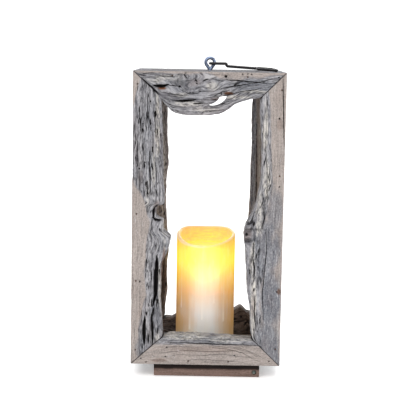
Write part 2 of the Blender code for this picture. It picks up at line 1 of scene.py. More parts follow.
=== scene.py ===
"""Hanging lantern: weathered driftwood frames, a zinc screw eye with a black wire bail, and a lit
pillar candle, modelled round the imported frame. Metres, +Z up, the front faces -Y."""

import json
import math

import bmesh
import bpy
import numpy as np
from mathutils import Matrix, Vector
from mathutils.bvhtree import BVHTree


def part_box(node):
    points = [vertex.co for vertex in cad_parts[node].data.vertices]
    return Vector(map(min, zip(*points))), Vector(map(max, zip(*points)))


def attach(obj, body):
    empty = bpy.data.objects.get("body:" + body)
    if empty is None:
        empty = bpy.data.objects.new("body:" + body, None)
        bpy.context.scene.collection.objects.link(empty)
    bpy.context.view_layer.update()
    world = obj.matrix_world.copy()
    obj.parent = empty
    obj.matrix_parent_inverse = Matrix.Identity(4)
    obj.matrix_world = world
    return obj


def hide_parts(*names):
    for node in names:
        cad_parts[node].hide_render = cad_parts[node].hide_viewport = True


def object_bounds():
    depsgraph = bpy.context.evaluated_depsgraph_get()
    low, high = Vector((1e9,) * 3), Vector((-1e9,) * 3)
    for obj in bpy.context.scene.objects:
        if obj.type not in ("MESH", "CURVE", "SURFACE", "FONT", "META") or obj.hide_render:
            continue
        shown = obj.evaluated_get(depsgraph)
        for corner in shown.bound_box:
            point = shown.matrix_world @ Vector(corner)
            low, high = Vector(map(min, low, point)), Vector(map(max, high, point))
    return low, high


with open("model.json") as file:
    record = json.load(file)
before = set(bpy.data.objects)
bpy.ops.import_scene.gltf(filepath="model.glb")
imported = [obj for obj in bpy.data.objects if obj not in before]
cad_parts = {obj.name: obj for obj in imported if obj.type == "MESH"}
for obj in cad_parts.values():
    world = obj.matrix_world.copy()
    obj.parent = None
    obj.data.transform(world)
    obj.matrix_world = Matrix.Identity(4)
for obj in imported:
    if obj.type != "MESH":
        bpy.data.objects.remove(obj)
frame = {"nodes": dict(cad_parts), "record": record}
NODES = frame["nodes"]
CAD_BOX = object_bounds()
MM = 0.001

FRONT_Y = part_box("front_left_stile")[0].y
REAR_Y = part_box("rear_left_stile")[1].y
HALF_WIDTH = CAD_BOX[1][0]
FRAME_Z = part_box("front_left_stile")[0].z
TOP_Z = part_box("front_left_stile")[1].z
HALF_FACE = (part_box("front_left_stile")[1].y - FRONT_Y) / 2
SIDE_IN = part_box("right_side_left_stile")[0].x
HALF_SIDE = (HALF_WIDTH - SIDE_IN) / 2
SIDE_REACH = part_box("right_side_bottom_rail")[1].y
CANDLE_LOW, CANDLE_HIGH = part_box("candle_wax")
CANDLE_X = (CANDLE_LOW.x + CANDLE_HIGH.x) / 2
CANDLE_RADIUS = (CANDLE_HIGH.x - CANDLE_LOW.x) / 2

ARRIS = 0.6 * MM  # the boards' eased outer corners
ROLL_FLAT = 0.8  # how deep the live edge's roll is, for its width
MITRE_CHAMFER, MITRE_DEPTH = 0.9 * MM, 0.5 * MM
BOARD_PITCH = 1.15 * MM  # of the carved boards' mesh, along them
SECTION_COUNTS = (84, 9, 9, 30, 10)  # steps over the face, each roll, the edge, back and outer edge
EYE_WIRE, BAIL_WIRE = 2.1 * MM, 1.7 * MM  # radii
EYE_RADIUS, EYE_RISE = 5.6 * MM, 10.35 * MM
RING_CENTRE = Vector((0, 0, TOP_Z + EYE_RISE))
PIVOT_DROP = 1.4 * MM  # the bail turns this far below the ring's centre


# ---------------------------------------------------------------- noise and small maths


def lattice(ix, iy, iz, seed):
    """A repeatable number from -1 to 1 at each whole-number place."""
    mixed = (
        ix.astype(np.int64) * 374761393 + iy.astype(np.int64) * 668265263
        + iz.astype(np.int64) * 1440662683 + seed * 1274126177
    ) & 0xFFFFFFFF
    mixed = ((mixed ^ (mixed >> 13)) * 1274126177) & 0xFFFFFFFF
    mixed = (mixed ^ (mixed >> 16)) & 0xFFFFFF
    return mixed / 0x7FFFFF - 1.0


def value_noise(x, y, z, seed):
    """Smooth noise from -1 to 1."""
    fx, fy, fz = np.floor(x), np.floor(y), np.floor(z)
    tx, ty, tz = x - fx, y - fy, z - fz
    tx, ty, tz = (t * t * (3 - 2 * t) for t in (tx, ty, tz))
    total = 0.0
    for dx in (0, 1):
        for dy in (0, 1):
            for dz in (0, 1):
                weight = (tx if dx else 1 - tx) * (ty if dy else 1 - ty) * (tz if dz else 1 - tz)
                total = total + weight * lattice(fx + dx, fy + dy, fz + dz, seed)
    return total


def layered_noise(x, y, z, seed, octaves=4, gain=0.5):
    total, size, reach = 0.0, 1.0, 0.0
    for octave in range(octaves):
        scale = 2.03**octave
        total = total + size * value_noise(x * scale, y * scale, z * scale, seed + 17 * octave)
        reach += size
        size *= gain
    return total / reach


def smooth_step(low, high, value):
    t = np.clip((value - low) / (high - low), 0, 1)
    return t * t * (3 - 2 * t)


def line_distance(s, w, points):
    """(distance to a line of points, share of the way along it) for each place."""
    best = np.full(s.shape, 1e9)
    along = np.zeros(s.shape)
    points = np.array(points, float)
    steps = np.hypot(*np.diff(points, axis=0).T)
    starts = np.concatenate([[0], np.cumsum(steps)])
    for (s0, w0), (s1, w1), start, step in zip(points, points[1:], starts, steps):
        ds, dw = s1 - s0, w1 - w0
        t = np.clip(((s - s0) * ds + (w - w0) * dw) / step**2, 0, 1)
        gap = np.hypot(s - s0 - t * ds, w - w0 - t * dw)
        nearer = gap < best
        best = np.where(nearer, gap, best)
        along = np.where(nearer, (start + t * step) / starts[-1], along)
    return best, along


# ---------------------------------------------------------------- shader building


def tone(red, green, blue, by=1.0):
    """A display colour, 0 to 255, as the linear colour that shaders take, made by times as light."""
    shares = (min(255, c * by) / 255 for c in (red, green, blue))
    return tuple(c / 12.92 if c <= 0.04045 else ((c + 0.055) / 1.055) ** 2.4 for c in shares)


class Term:
    """A socket in a node tree, with arithmetic that adds Math nodes."""

    def __init__(self, finish, socket):
        self.finish = finish
        self.socket = socket

    def math(self, operation, *others, swap=False, clamp=False):
        terms = [self, *others]
        if swap:
            terms.reverse()
        node = self.finish.add("ShaderNodeMath", {"operation": operation, "use_clamp": clamp},
                               dict(enumerate(terms)))
        return Term(self.finish, node.outputs[0])

    def __add__(self, other):
        return self.math("ADD", other)

    __radd__ = __add__

    def __sub__(self, other):
        return self.math("SUBTRACT", other)

    def __rsub__(self, other):
        return self.math("SUBTRACT", other, swap=True)

    def __mul__(self, other):
        return self.math("MULTIPLY", other)

    __rmul__ = __mul__

    def __truediv__(self, other):
        return self.math("DIVIDE", other)

    def held(self):
        return self.math("ADD", 0.0, clamp=True)


class Finish:
    """A material with one Principled shader, and the nodes that feed it."""

    def __init__(self, name, **even):
        self.material = bpy.data.materials.new(name)
        self.material.use_nodes = True
        self.tree = self.material.node_tree
        self.shader = self.tree.nodes["Principled BSDF"]
        for key, value in even.items():
            self.put(self.shader, key.replace("_", " ").title().replace("Ior", "IOR"), value)

    def put(self, node, key, value):
        socket = node.inputs[key]
        if isinstance(value, Term):
            self.tree.links.new(value.socket, socket)
        elif isinstance(value, tuple) and len(value) == 3 and socket.type == "RGBA":
            socket.default_value = (*value, 1.0)
        else:
            socket.default_value = value

    def add(self, kind, settings=None, inputs=None):
        node = self.tree.nodes.new(kind)
        for key, value in (settings or {}).items():
            if key == "stops":
                ramp = node.color_ramp
                while len(ramp.elements) < len(value):
                    ramp.elements.new(0.5)
                for element, (place, colour) in zip(ramp.elements, value):
                    element.position = place
                    element.color = (*colour, 1.0)
            else:
                setattr(node, key, value)
        for key, value in (inputs or {}).items():
            self.put(node, key, value)
        return node

    def out(self, node, name=0):
        return Term(self, node.outputs[name])

    def object_place(self):
        return self.out(self.add("ShaderNodeTexCoord"), "Object")

    def map_of(self, name):
        return self.out(self.add("ShaderNodeUVMap", {"uv_map": name}), "UV")

    def attribute(self, name):
        return self.out(self.add("ShaderNodeAttribute", {"attribute_name": name}), "Fac")

    def scaled(self, vector, scale, shift=(0, 0, 0)):
        node = self.add("ShaderNodeMapping", None, {"Vector": vector, "Scale": scale, "Location": shift})
        return self.out(node)

    def noise(self, vector, scale=1.0, detail=4.0, roughness=0.55, distortion=0.0):
        node = self.add("ShaderNodeTexNoise", None, {
            "Vector": vector, "Scale": scale, "Detail": detail, "Roughness": roughness,
            "Distortion": distortion,
        })
        return self.out(node, "Fac")

    def ramp(self, value, *stops):
        return self.out(self.add("ShaderNodeValToRGB", {"stops": stops}, {"Fac": value}))

    def span(self, value, low, high, to_low=0.0, to_high=1.0):
        node = self.add("ShaderNodeMapRange", {"clamp": True}, {
            "Value": value, "From Min": low, "From Max": high, "To Min": to_low, "To Max": to_high,
        })
        return self.out(node)

    def mix(self, share, one, other, blend="MIX"):
        node = self.add("ShaderNodeMix", {"data_type": "RGBA", "blend_type": blend},
                        {0: share, 6: one, 7: other})
        return self.out(node, 2)

    def feed(self, key, value):
        self.put(self.shader, key, value)

    def bump(self, height, strength, distance):
        inputs = {"Height": height, "Strength": strength, "Distance": distance}
        return self.out(self.add("ShaderNodeBump", None, inputs))


# ---------------------------------------------------------------- finishes


def driftwood(name, pale, middle, dark, planed, stain):
    """Weathered wood. Its streaks follow the board's own map of the grain.

    The mesh holds five numbers: how dark a place is painted (painted shade in its cracks, furrows,
    pits and hollows and along its outer edge, and the dark mitre and grain lines), how far it was
    planed flat, how much brown wood shows, how blue-grey it has weathered, and how far the sun has
    bleached it.
    """
    wood = Finish(name, roughness=0.86, specular_ior_level=0.25)
    grain = wood.map_of("grain")
    carved, flat, brown, cool, bleached = (
        wood.attribute(key) for key in ("carved", "planed", "stain", "cool", "bleached"))

    def grained(along, across, shift=(0, 0, 0), **settings):
        """Noise drawn out along the grain: its waves to a metre along and across."""
        return wood.noise(wood.scaled(grain, (along, across, 1), shift), **settings)

    streaks = grained(22, 430, detail=8, roughness=0.76, distortion=0.35)
    bands = grained(9, 150, (3, 5, 0), roughness=0.5, distortion=0.5)
    patches = grained(14, 34, (7, 1, 0), detail=3)
    fibres = grained(90, 1300, roughness=0.7)
    specks = grained(420, 620, detail=3, roughness=0.7)
    flakes = grained(70, 560, (2, 9, 0), roughness=0.7)
    flecks = grained(150, 520, (5, 4, 0), detail=5, roughness=0.72, distortion=0.6)

    rough = wood.ramp(streaks * 0.46 + bands * 0.16 + flecks * 0.38, (0.40, tone(*dark)),
                      (0.485, tone(*middle)), (0.58, tone(*pale)))
    smooth = wood.ramp(streaks * 0.55 + specks * 0.45, (0.36, tone(*planed, by=0.72)),
                       (0.49, tone(*planed)), (0.62, tone(*planed, by=1.16)))
    grey = wood.ramp(streaks * 0.4 + flecks * 0.35 + specks * 0.25, (0.39, tone(64, 66, 73)),
                     (0.49, tone(104, 106, 113)), (0.60, tone(152, 153, 157)))
    colour = wood.mix(cool, wood.mix(flat, rough, smooth), grey)
    pale_streaks = wood.span(flecks * 0.6 + flakes * 0.4, 0.44, 0.56)
    colour = wood.mix((bleached * (pale_streaks * 0.9 + 0.1)).held(), colour, tone(208, 202, 192))
    warm = wood.mix(0.5, tone(*stain), colour)
    colour = wood.mix((wood.span(patches, 0.5, 0.72) * 0.35).held(), colour, warm)
    colour = wood.mix(wood.span(flakes, 0.60, 0.70) * 0.5, colour, tone(*pale, by=1.2))
    heartwood = wood.ramp(streaks, (0.38, tone(*stain, by=0.5)), (0.58, tone(*stain)))
    colour = wood.mix(brown, colour, heartwood)
    colour = wood.mix(wood.span(fibres, 0.56, 0.70) * 0.45, colour, tone(*middle, by=0.45))
    # Painted shade: this share darkens the wood to near black where shade falls in cracks, furrows, pits and
    # hollows, and also draws the dark mitre and grain lines.
    wood.feed("Base Color", wood.mix(carved, colour, tone(14, 11, 11)))
    wood.feed("Roughness", wood.span(streaks, 0.3, 0.7, 0.92, 0.78))
    height = streaks * 0.4 + flecks * 0.35 + fibres * 0.15 + specks * 0.10
    wood.feed("Normal", wood.bump(height, 0.7, 0.0012))
    return wood.material


def end_grain():
    """Grey end grain with a few darker rings."""
    wood = Finish("end_grain", roughness=0.85, specular_ior_level=0.2)
    place = wood.object_place()
    rings = wood.noise(place, 900.0, 3.0, 0.6, 1.0)
    cloud = wood.noise(place, 260.0, 2.0)
    wood.feed("Base Color", wood.ramp(rings * 0.6 + cloud * 0.4, (0.40, tone(52, 54, 50)),
                                      (0.58, tone(122, 128, 122))))
    wood.feed("Normal", wood.bump(rings, 0.4, 0.0003))
    return wood.material


def zinc_wire():
    metal = Finish("zinc_wire", metallic=1.0)
    place = metal.object_place()
    cloud = metal.noise(place, 420.0, 4.0)
    spangle = metal.noise(place, 1500.0, 2.0)
    colour = metal.ramp(cloud, (0.35, tone(84, 92, 116)), (0.62, tone(168, 184, 212)))
    metal.feed("Base Color", metal.mix(metal.span(spangle, 0.58, 0.7) * 0.6, colour, tone(62, 66, 82)))
    metal.feed("Roughness", metal.span(cloud, 0.3, 0.7, 0.30, 0.5))
    metal.feed("Normal", metal.bump(spangle, 0.25, 0.0002))
    return metal.material


def black_wire():
    metal = Finish("black_wire", specular_ior_level=0.55)
    place = metal.object_place()
    rust = metal.noise(place, 160.0, 5.0, 0.6)
    scale = metal.noise(place, 900.0, 3.0)
    worn = metal.span(rust, 0.56, 0.70)
    colour = metal.ramp(scale, (0.35, tone(8, 7, 9)), (0.7, tone(24, 20, 23)))
    metal.feed("Base Color", metal.mix(worn * 0.7, colour, tone(58, 30, 22)))
    metal.feed("Roughness", metal.span(rust, 0.4, 0.7, 0.42, 0.78))
    metal.feed("Metallic", metal.span(rust, 0.45, 0.65, 0.35, 0.05))
    metal.feed("Normal", metal.bump(scale + rust, 0.4, 0.0003))
    return metal.material


def rusty_steel(name, clean, rusted):
    metal = Finish(name)
    place = metal.object_place()
    rust = metal.noise(place, 900.0, 4.0, 0.6)
    metal.feed("Base Color", metal.ramp(rust, (0.38, tone(*clean)), (0.62, tone(*rusted))))
    metal.feed("Metallic", metal.span(rust, 0.4, 0.6, 0.9, 0.1))
    metal.feed("Roughness", metal.span(rust, 0.35, 0.65, 0.35, 0.8))
    metal.feed("Normal", metal.bump(rust, 0.4, 0.0002))
    return metal.material


# The light that the wax gives off, by share of the candle's height. Below a quarter of the height it is
# painted light: a pale glow that brightens the foot as light from the front would. GLOW_SIDES is the
# deeper orange glow painted towards the left and right sides, part of their painted shade.
GLOW_MIDDLE = (
    (0.0, (0.22, 0.26, 0.27)), (0.12, (0.16, 0.19, 0.20)), (0.24, (0.04, 0.035, 0.03)),
    (0.36, (0.06, 0.045, 0.03)), (0.46, (0.14, 0.09, 0.06)), (0.58, (0.55, 0.40, 0.20)),
    (0.68, (0.95, 0.86, 0.24)), (0.84, (1.0, 0.92, 0.12)), (0.93, (0.70, 0.50, 0.06)),
    (1.0, (0.45, 0.24, 0.04)),
)
GLOW_SIDES = (
    (0.0, (0.22, 0.15, 0.075)), (0.12, (0.19, 0.125, 0.06)), (0.23, (0.18, 0.09, 0.012)),
    (0.34, (0.12, 0.05, 0.004)), (0.50, (0.40, 0.19, 0.008)), (0.63, (0.74, 0.48, 0.006)),
    (0.76, (0.95, 0.88, 0.002)), (0.86, (0.85, 0.66, 0.004)), (1.0, (0.40, 0.20, 0.03)),
)
GLOW_BOWL = ((0.80, (0.90, 0.74, 0.06)), (0.9, (0.85, 0.58, 0.12)), (1.0, (0.64, 0.40, 0.15)))
GLOW_RUNS, GLOW_RIM = (0.42, 0.34, 0.24), (0.50, 0.36, 0.13)


def candle_wax():
    """Ivory wax, lit by the lamp inside it: yellow above, fading to ivory towards the foot; painted
    shade deepens it towards its sides, and painted light brightens its foot.
    """
    wax = Finish("candle_wax", subsurface_weight=0.15, subsurface_scale=0.004,
                 subsurface_radius=(1.0, 0.5, 0.2), specular_ior_level=0.4, emission_strength=0.75)
    place = wax.object_place()
    parts = wax.add("ShaderNodeSeparateXYZ", None, {"Vector": place})
    x, z = (wax.out(parts, axis) for axis in ("X", "Z"))
    crater, runs, rim = (wax.attribute(key) for key in ("crater", "drips", "rim"))
    mottle = wax.noise(place, 60.0, 4.0)
    fine = wax.noise(place, 700.0, 3.0)
    frost = wax.noise(wax.scaled(place, (1, 1, 0.35)), 130.0, 3.0)
    curtains = wax.noise(wax.scaled(place, (1, 1, 0.06)), 240.0, 2.0)
    ripple = wax.noise(wax.scaled(place, (1, 1, 5)), 90.0, 3.0)
    lit = (wax.span(z, CANDLE_LOW.z, CANDLE_HIGH.z) + (mottle - 0.5) * 0.06).held()
    # Painted shade: the wax is painted deeper and more orange towards its left and right sides than in the
    # middle of the front and back, and its glow with it.
    sideways = (x - CANDLE_X).math("ABSOLUTE") / CANDLE_RADIUS + (mottle - 0.5) * 0.12
    sideways = (wax.span(curtains, 0.3, 0.7, -0.10, 0.10) + wax.span(sideways, 0.22, 0.92)).held()

    # middle holds the paler colours of the lit front and back; sides holds the painted-shade colours towards
    # the left and right.
    middle = wax.ramp(lit, (0.0, tone(222, 214, 200)), (0.3, tone(218, 212, 206)),
                      (0.5, tone(230, 200, 168)), (0.75, tone(236, 196, 100)), (1.0, tone(232, 170, 90)))
    sides = wax.ramp(lit, (0.0, tone(208, 170, 118)), (0.3, tone(210, 162, 102)),
                     (0.55, tone(220, 156, 70)), (1.0, tone(224, 160, 80)))
    frosted = (wax.span(frost, 0.5, 0.8) * 0.2 + runs * 0.5).held()
    pale = wax.mix(frosted, wax.mix(sideways, middle, sides), tone(238, 230, 220))
    wax.feed("Base Color", wax.mix(rim, pale, tone(238, 208, 186)))
    glow = wax.mix(sideways, wax.ramp(lit, *GLOW_MIDDLE), wax.ramp(lit, *GLOW_SIDES))
    glow = wax.mix(crater, glow, wax.ramp(lit + (ripple - 0.5) * 0.35, *GLOW_BOWL))
    wax.feed("Emission Color", wax.mix(rim, wax.mix(runs * 0.2, glow, GLOW_RUNS), GLOW_RIM))
    wax.feed("Roughness", wax.span(mottle, 0.3, 0.7, 0.34, 0.5))
    wax.feed("Normal", wax.bump(mottle * 0.7 + fine * 0.3, 0.25, 0.0008))
    return wax.material


def moulded(name, colour, speck, roughness=0.45):
    plastic = Finish(name)
    place = plastic.object_place()
    grain = plastic.noise(place, 1400.0, 2.0)
    cloud = plastic.noise(place, 90.0, 3.0)
    plastic.feed("Base Color", plastic.ramp(cloud, (0.3, tone(*colour)), (0.75, tone(*speck))))
    plastic.feed("Roughness", plastic.span(grain, 0.3, 0.7, roughness - 0.06, roughness + 0.1))
    plastic.feed("Normal", plastic.bump(grain, 0.15, 0.0001))
    return plastic.material


# ---------------------------------------------------------------- boards


def mesh_object(name, bm, smooth_angle=50):
    mesh = bpy.data.meshes.new(name)
    bm.to_mesh(mesh)
    bm.free()
    mesh.shade_smooth()
    mesh.set_sharp_from_angle(angle=math.radians(smooth_angle))
    item = bpy.data.objects.new(name, mesh)
    bpy.context.scene.collection.objects.link(item)
    return item


def stand_for(item, body, finishes, slot, *nodes):
    """Puts the item in place of CAD nodes, on their body and in their slot's finish."""
    item.data.materials.clear()
    item.data.materials.append(finishes[slot])
    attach(item, body)
    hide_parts(*nodes)


class Plank:
    """Where a CAD board lies: its outer edge's start, and its three directions.

    s runs along the outer edge, w across the board from that edge, and d outwards from the
    middle of its thickness.
    """

    def __init__(self, node, start, along, across, outward, length, thick):
        self.node = node
        self.start, self.along, self.across, self.outward = start, along, across, outward
        self.length, self.thick = length, thick
        mesh = NODES[node].data
        corners = [v.co for v in mesh.vertices]
        self.tree = BVHTree.FromPolygons(corners, [tuple(p.vertices) for p in mesh.polygons])
        self.widest = max((co - self.start).dot(self.across) for co in corners)

    def width_at(self, s):
        """The board's width there, found from beyond its inner edge."""
        far = self.widest + 5 * MM
        origin = self.start + self.along * s + self.across * far
        hit = self.tree.ray_cast(origin, -self.across)
        return far - hit[3] if hit[0] is not None else 0.0

    def seam(self, from_end):
        """(offset, corner): where the mitre starts on the outer edge, and where its corner is."""
        def width(s):
            return self.width_at(self.length - s if from_end else s)

        near, far, step = 4 * MM, 14 * MM, 0.25 * MM
        slope = (far - near) / (width(far) - width(near))
        offset = near - slope * width(near)
        s = far
        while abs((s + step - offset) / slope - width(s + step)) < step:
            s += step
        return offset, s

    def place(self, s, w, d):
        """World positions, as rows."""
        axes = np.array([self.along, self.across, self.outward])
        return np.array(self.start) + np.stack([s, w, d], 1) @ axes


def mark(mesh, **shares):
    """Writes each share, 0 to 1, on the mesh's vertices, where the finishes read it."""
    for key, value in shares.items():
        attribute = mesh.attributes.new(key, "FLOAT", "POINT")
        even = np.zeros(len(mesh.vertices))
        attribute.data.foreach_set("value", np.clip(even + value, 0, 1).astype(np.float32))


def live_edge(plank, look, t, start, end):
    """At each share t of the way along: s on the live edge, the width there, and both rolls."""
    stops = np.linspace(start, end, 241)
    widths = np.array([plank.width_at(min(max(s, 1e-4), plank.length - 1e-4)) for s in stops])
    s = start + t * (end - start)
    zero = np.zeros_like(s)
    seed = look["seed"]
    fade = smooth_step(0, 6 * MM, s - start) * smooth_step(0, 6 * MM, end - s)
    width = np.interp(s, stops, widths) + look.get("swell", 0.0) * MM * fade
    ragged = look.get("ragged", 0.7) * MM
    width = width - fade * ragged * (0.6 + layered_noise(s / 0.011, zero, zero, seed + 3, 3))
    front = look["roll"] * MM * (1 + 0.45 * layered_noise(s / 0.03, zero, zero, seed + 5, 2))
    rear = 3.0 * MM * (1 + 0.4 * layered_noise(s / 0.025, zero, zero, seed + 7, 2))
    return s, width, front, rear, np.median(widths)


def board_section(column, counts, width, front, rear, half):
    """(w, d, nw, nd): where each place lies in the board's section, and which way it faces.

    The section is a chain of stretches: the face, the live edge between its two rolls, the back,
    and the outer edge between its two corners. In each, a centre moves on a line from one place to
    another, and an arm round it turns from one quarter to another.
    """
    face, bend, edge, back, outer = counts
    high, low = half - ROLL_FLAT * front, ROLL_FLAT * rear - half
    ease = ARRIS - half
    still = (0, 0)
    w = d = nw = nd = np.zeros_like(width)
    begun = 0
    for count, (w0, d0), (w1, d1), (reach_w, reach_d), quarter, turned in (
        (face, (ARRIS, half), (width - front, half), still, 0, 0),
        (bend, (width - front, high), (width - front, high), (front, ROLL_FLAT * front), 0, 1),
        (edge, (width, high), (width, low), still, 1, 0),
        (bend, (width - rear, low), (width - rear, low), (rear, ROLL_FLAT * rear), 1, 1),
        (back, (width - rear, -half), (ARRIS, -half), still, 2, 0),
        (2, (ARRIS, ease), (ARRIS, ease), (ARRIS, ARRIS), 2, 1),
        (outer, (0, ease), (0, -ease), still, 3, 0),
        (2, (ARRIS, -ease), (ARRIS, -ease), (ARRIS, ARRIS), 3, 1),
        (1, (ARRIS, half), (ARRIS, half), still, 4, 0),
    ):
        u = (column - begun) / count
        here = (u >= 0) & (u < 1)
        sine, cosine = np.sin((quarter + u * turned) * np.pi / 2), np.cos((quarter + u * turned) * np.pi / 2)
        w = np.where(here, w0 + u * (w1 - w0) + reach_w * sine, w)
        d = np.where(here, d0 + u * (d1 - d0) + reach_d * cosine, d)
        nw, nd = np.where(here, sine, nw), np.where(here, cosine, nd)
        begun += count
    return w, d, nw, nd


def grain_places(s, w, d, across, look):
    """The grain's own map: it follows the live edge, and bends round the knots."""
    grain_s, grain_w = s, across
    for knot_s, knot_w, radius, pull in look["knots"]:
        ds, dw = s - knot_s * MM, w - knot_w * MM
        near = (radius * MM) ** 2
        grain_w = grain_w - pull * dw * near / (ds**2 * 0.5 + dw**2 + near)
        grain_s = grain_s + pull * ds * 0.6 * near / (ds**2 + dw**2 + near)
    wave, sway = look.get("flow", (60, 2.2))
    bow = layered_noise(s / (wave * MM), w / (wave * MM * 0.6), d / 0.02, look["seed"] + 11, 3)
    return grain_s, grain_w + bow * sway * MM


def furrowed(grain_s, grain_w, d, wild, look):
    """(depth, darkness) of soft hollows, furrows and opened splits along the grain; the darkness is
    painted shade in the grooves and opened splits.
    """
    seed = look["seed"]
    swell = layered_noise(grain_s / 0.045, grain_w / 0.011, d / 0.006, seed, 3)
    furrow = layered_noise(grain_s / 0.019, grain_w / 0.0026, d / 0.006, seed + 23, 3, 0.55)
    groove = np.clip(1 - np.abs(furrow) * 4.0, 0, 1)
    split = layered_noise(grain_s / 0.011, grain_w / 0.0021, d / 0.006, seed + 41, 3, 0.6)
    opened = smooth_step(0.33, 0.42, split) * look.get("splits", 1.0)
    depth = wild * (look["furrows"] * MM) * (0.75 * (0.5 + 0.5 * swell) + 0.85 * groove**1.5
                                             + 0.35 * (0.5 + 0.5 * furrow) + 1.5 * opened)
    return depth, wild * np.clip(groove**2 * 0.75 - 0.08 + opened * 0.9, 0, 1)


def cut_face(depth, dark, s, w, on_face, look):
    """Adds the look's cracks and pits to the face's depth and darkness: painted shade in the deep
    cracks and the pits, and dark grain in the shallow lines.
    """
    shake = layered_noise(s / 0.006, w / 0.006, np.zeros_like(s), look["seed"] + 31, 2) * 0.5 * MM
    for points, reach, deep, *shade in look["cracks"]:
        gap, along = line_distance(s, w + shake, np.array(points) * MM)
        taper = np.clip(np.sin(np.pi * np.clip(along, 0.02, 0.98)), 0, 1) ** 0.6
        cut = np.clip(1 - gap / np.maximum(reach * MM * taper, 1e-6), 0, 1) * on_face
        depth = np.maximum(depth, deep * MM * cut**0.5)
        dark = np.maximum(dark, (shade[0] if shade else 1.0) * smooth_step(0.0, 0.35, cut))
    for pit_s, pit_w, radius, deep in look["pits"]:
        gap = np.hypot(s - pit_s * MM, w - pit_w * MM)
        cut = np.clip(1.25 - gap / (radius * MM), 0, 1) * on_face
        depth = np.maximum(depth, deep * MM * smooth_step(0, 0.6, cut))
        dark = np.maximum(dark, smooth_step(0.1, 0.6, cut))
    return depth, dark


def zone(s, w, blur, spots):
    """How far each place lies in soft round zones: (s, w, reach along, reach across, amount)."""
    share = np.zeros_like(s)
    for spot_s, spot_w, reach_s, reach_w, amount in spots:
        gap = np.hypot((s - spot_s * MM) / (reach_s * MM), (w - spot_w * MM) / (reach_w * MM)) + blur
        share = np.maximum(share, amount * smooth_step(1.0, 0.45, gap))
    return share


def flat_sheet(name, around, along):
    """A grid to be wrapped round the board: its mesh, and each place's column and share along."""
    bm = bmesh.new()
    bmesh.ops.create_grid(bm, x_segments=around, y_segments=along, size=1)
    mesh = bpy.data.meshes.new(name)
    bm.to_mesh(mesh)
    bm.free()
    flat = np.empty(len(mesh.vertices) * 3)
    mesh.vertices.foreach_get("co", flat)
    across, up, _ = flat.reshape(-1, 3).T
    return mesh, np.rint((across + 1) / 2 * around).astype(int), (up + 1) / 2


def closed_board(name, mesh):
    """The wrapped sheet, joined where it meets itself and capped at both mitres."""
    bm = bmesh.new()
    bm.from_mesh(mesh)
    bpy.data.meshes.remove(mesh)
    bmesh.ops.remove_doubles(bm, verts=bm.verts, dist=2e-6)
    ends = [e for e in bm.edges if e.is_boundary]
    caps = bmesh.ops.holes_fill(bm, edges=ends, sides=0)["faces"]
    bmesh.ops.triangulate(bm, faces=caps)
    bmesh.ops.recalc_face_normals(bm, faces=bm.faces)
    return mesh_object(name, bm)


def grow_board(plank, name, look, fine=1.0):
    """A mitred board with a live inner edge, carved by its look; fine scales the mesh's counts."""
    half, seed = plank.thick / 2, look["seed"]
    offset_a, corner_a = plank.seam(False)
    offset_b, corner_b = plank.seam(True)
    counts = [max(3, int(round(n * fine))) for n in SECTION_COUNTS]
    face, bend, edge, back, outer = counts
    around = face + 2 * bend + edge + back + outer + 4
    along = int(round(plank.length / BOARD_PITCH * fine**0.7))
    mesh, column, t = flat_sheet(name, around, along)

    s_edge, width, front, rear, nominal = live_edge(plank, look, t, corner_a, plank.length - corner_b)
    w, d, nw, nd = board_section(column, counts, width, front, rear, half)
    share = np.clip(w / np.maximum(width, 1e-6), 0, 1)
    s_outer = offset_a + t * (plank.length - offset_a - offset_b)
    s = s_outer + share * (s_edge - s_outer)
    zero = np.zeros_like(s)
    grain_s, grain_w = grain_places(s, w, d, share * nominal, look)

    # How far each place was planed flat: the outer side of the board, up to its bark line.
    line = np.interp(s / plank.length, *np.array(look["planed"]).T) * MM
    wander = layered_noise(s / 0.03, w / 0.01, zero, seed + 13, 3) * 4 * MM
    planed = np.where(nw > 0.3, 0.0, 1 - smooth_step(-1.5 * MM, 1.5 * MM, w + wander - line))

    depth, dark = furrowed(grain_s, grain_w, d, 1 - planed * 0.88, look)
    depth, dark = cut_face(depth, dark, s, w, nd > 0.5, look)
    if "hole" in look:
        gap, _ = line_distance(s, w, np.array(look["hole"] + look["hole"][:1]) * MM)
        worn = np.clip(1 - gap / (2.2 * MM), 0, 1) * (np.abs(nd) > 0.5)
        depth = depth + 1.6 * MM * worn**2
    # The mitre's arris is broken a little, which shows the joint as a line.
    broken = np.clip(1 - np.minimum(t, 1 - t) * plank.length / MITRE_CHAMFER, 0, 1)
    depth = np.minimum(depth + broken * MITRE_DEPTH, plank.thick * 0.45)
    outer_side = np.clip(-nw, 0, 1)
    dark = np.maximum(np.maximum(dark, broken * 0.75), outer_side * look.get("edge_shade", 0.0))
    blur = layered_noise(s / 0.02, w / 0.007, zero, seed + 37, 3) * 0.35
    stain, cool, bleached = (zone(s, w, blur, look.get(key, ())) for key in ("stains", "cool", "bleached"))
    cool = np.maximum(cool, outer_side * look.get("edge_weather", 0.0))

    w, d = w - nw * depth, d - nd * depth
    mesh.vertices.foreach_set("co", plank.place(s, w, d).astype(np.float32).ravel())
    mark(mesh, carved=dark, planed=planed, stain=stain, cool=cool, bleached=bleached)
    # Round the section the map goes on past the face, so that each side has its own streaks.
    beyond = nominal * 2 + 2 * half
    round_place = np.where(nd > 0.5, grain_w, np.where(nw > 0.3, nominal + (half - d), np.where(
        nd < -0.5, beyond - grain_w, beyond + d)))
    loops = np.empty(len(mesh.loops), np.int64)
    mesh.loops.foreach_get("vertex_index", loops)
    pairs = np.stack([grain_s[loops], round_place[loops]], 1) + seed * 0.37
    mesh.uv_layers.new(name="grain").data.foreach_set("uv", pairs.astype(np.float32).ravel())

    board = closed_board(name, mesh)
    if "hole" in look:
        bored(board, hole_cutter(plank, look["hole"]))
    return board


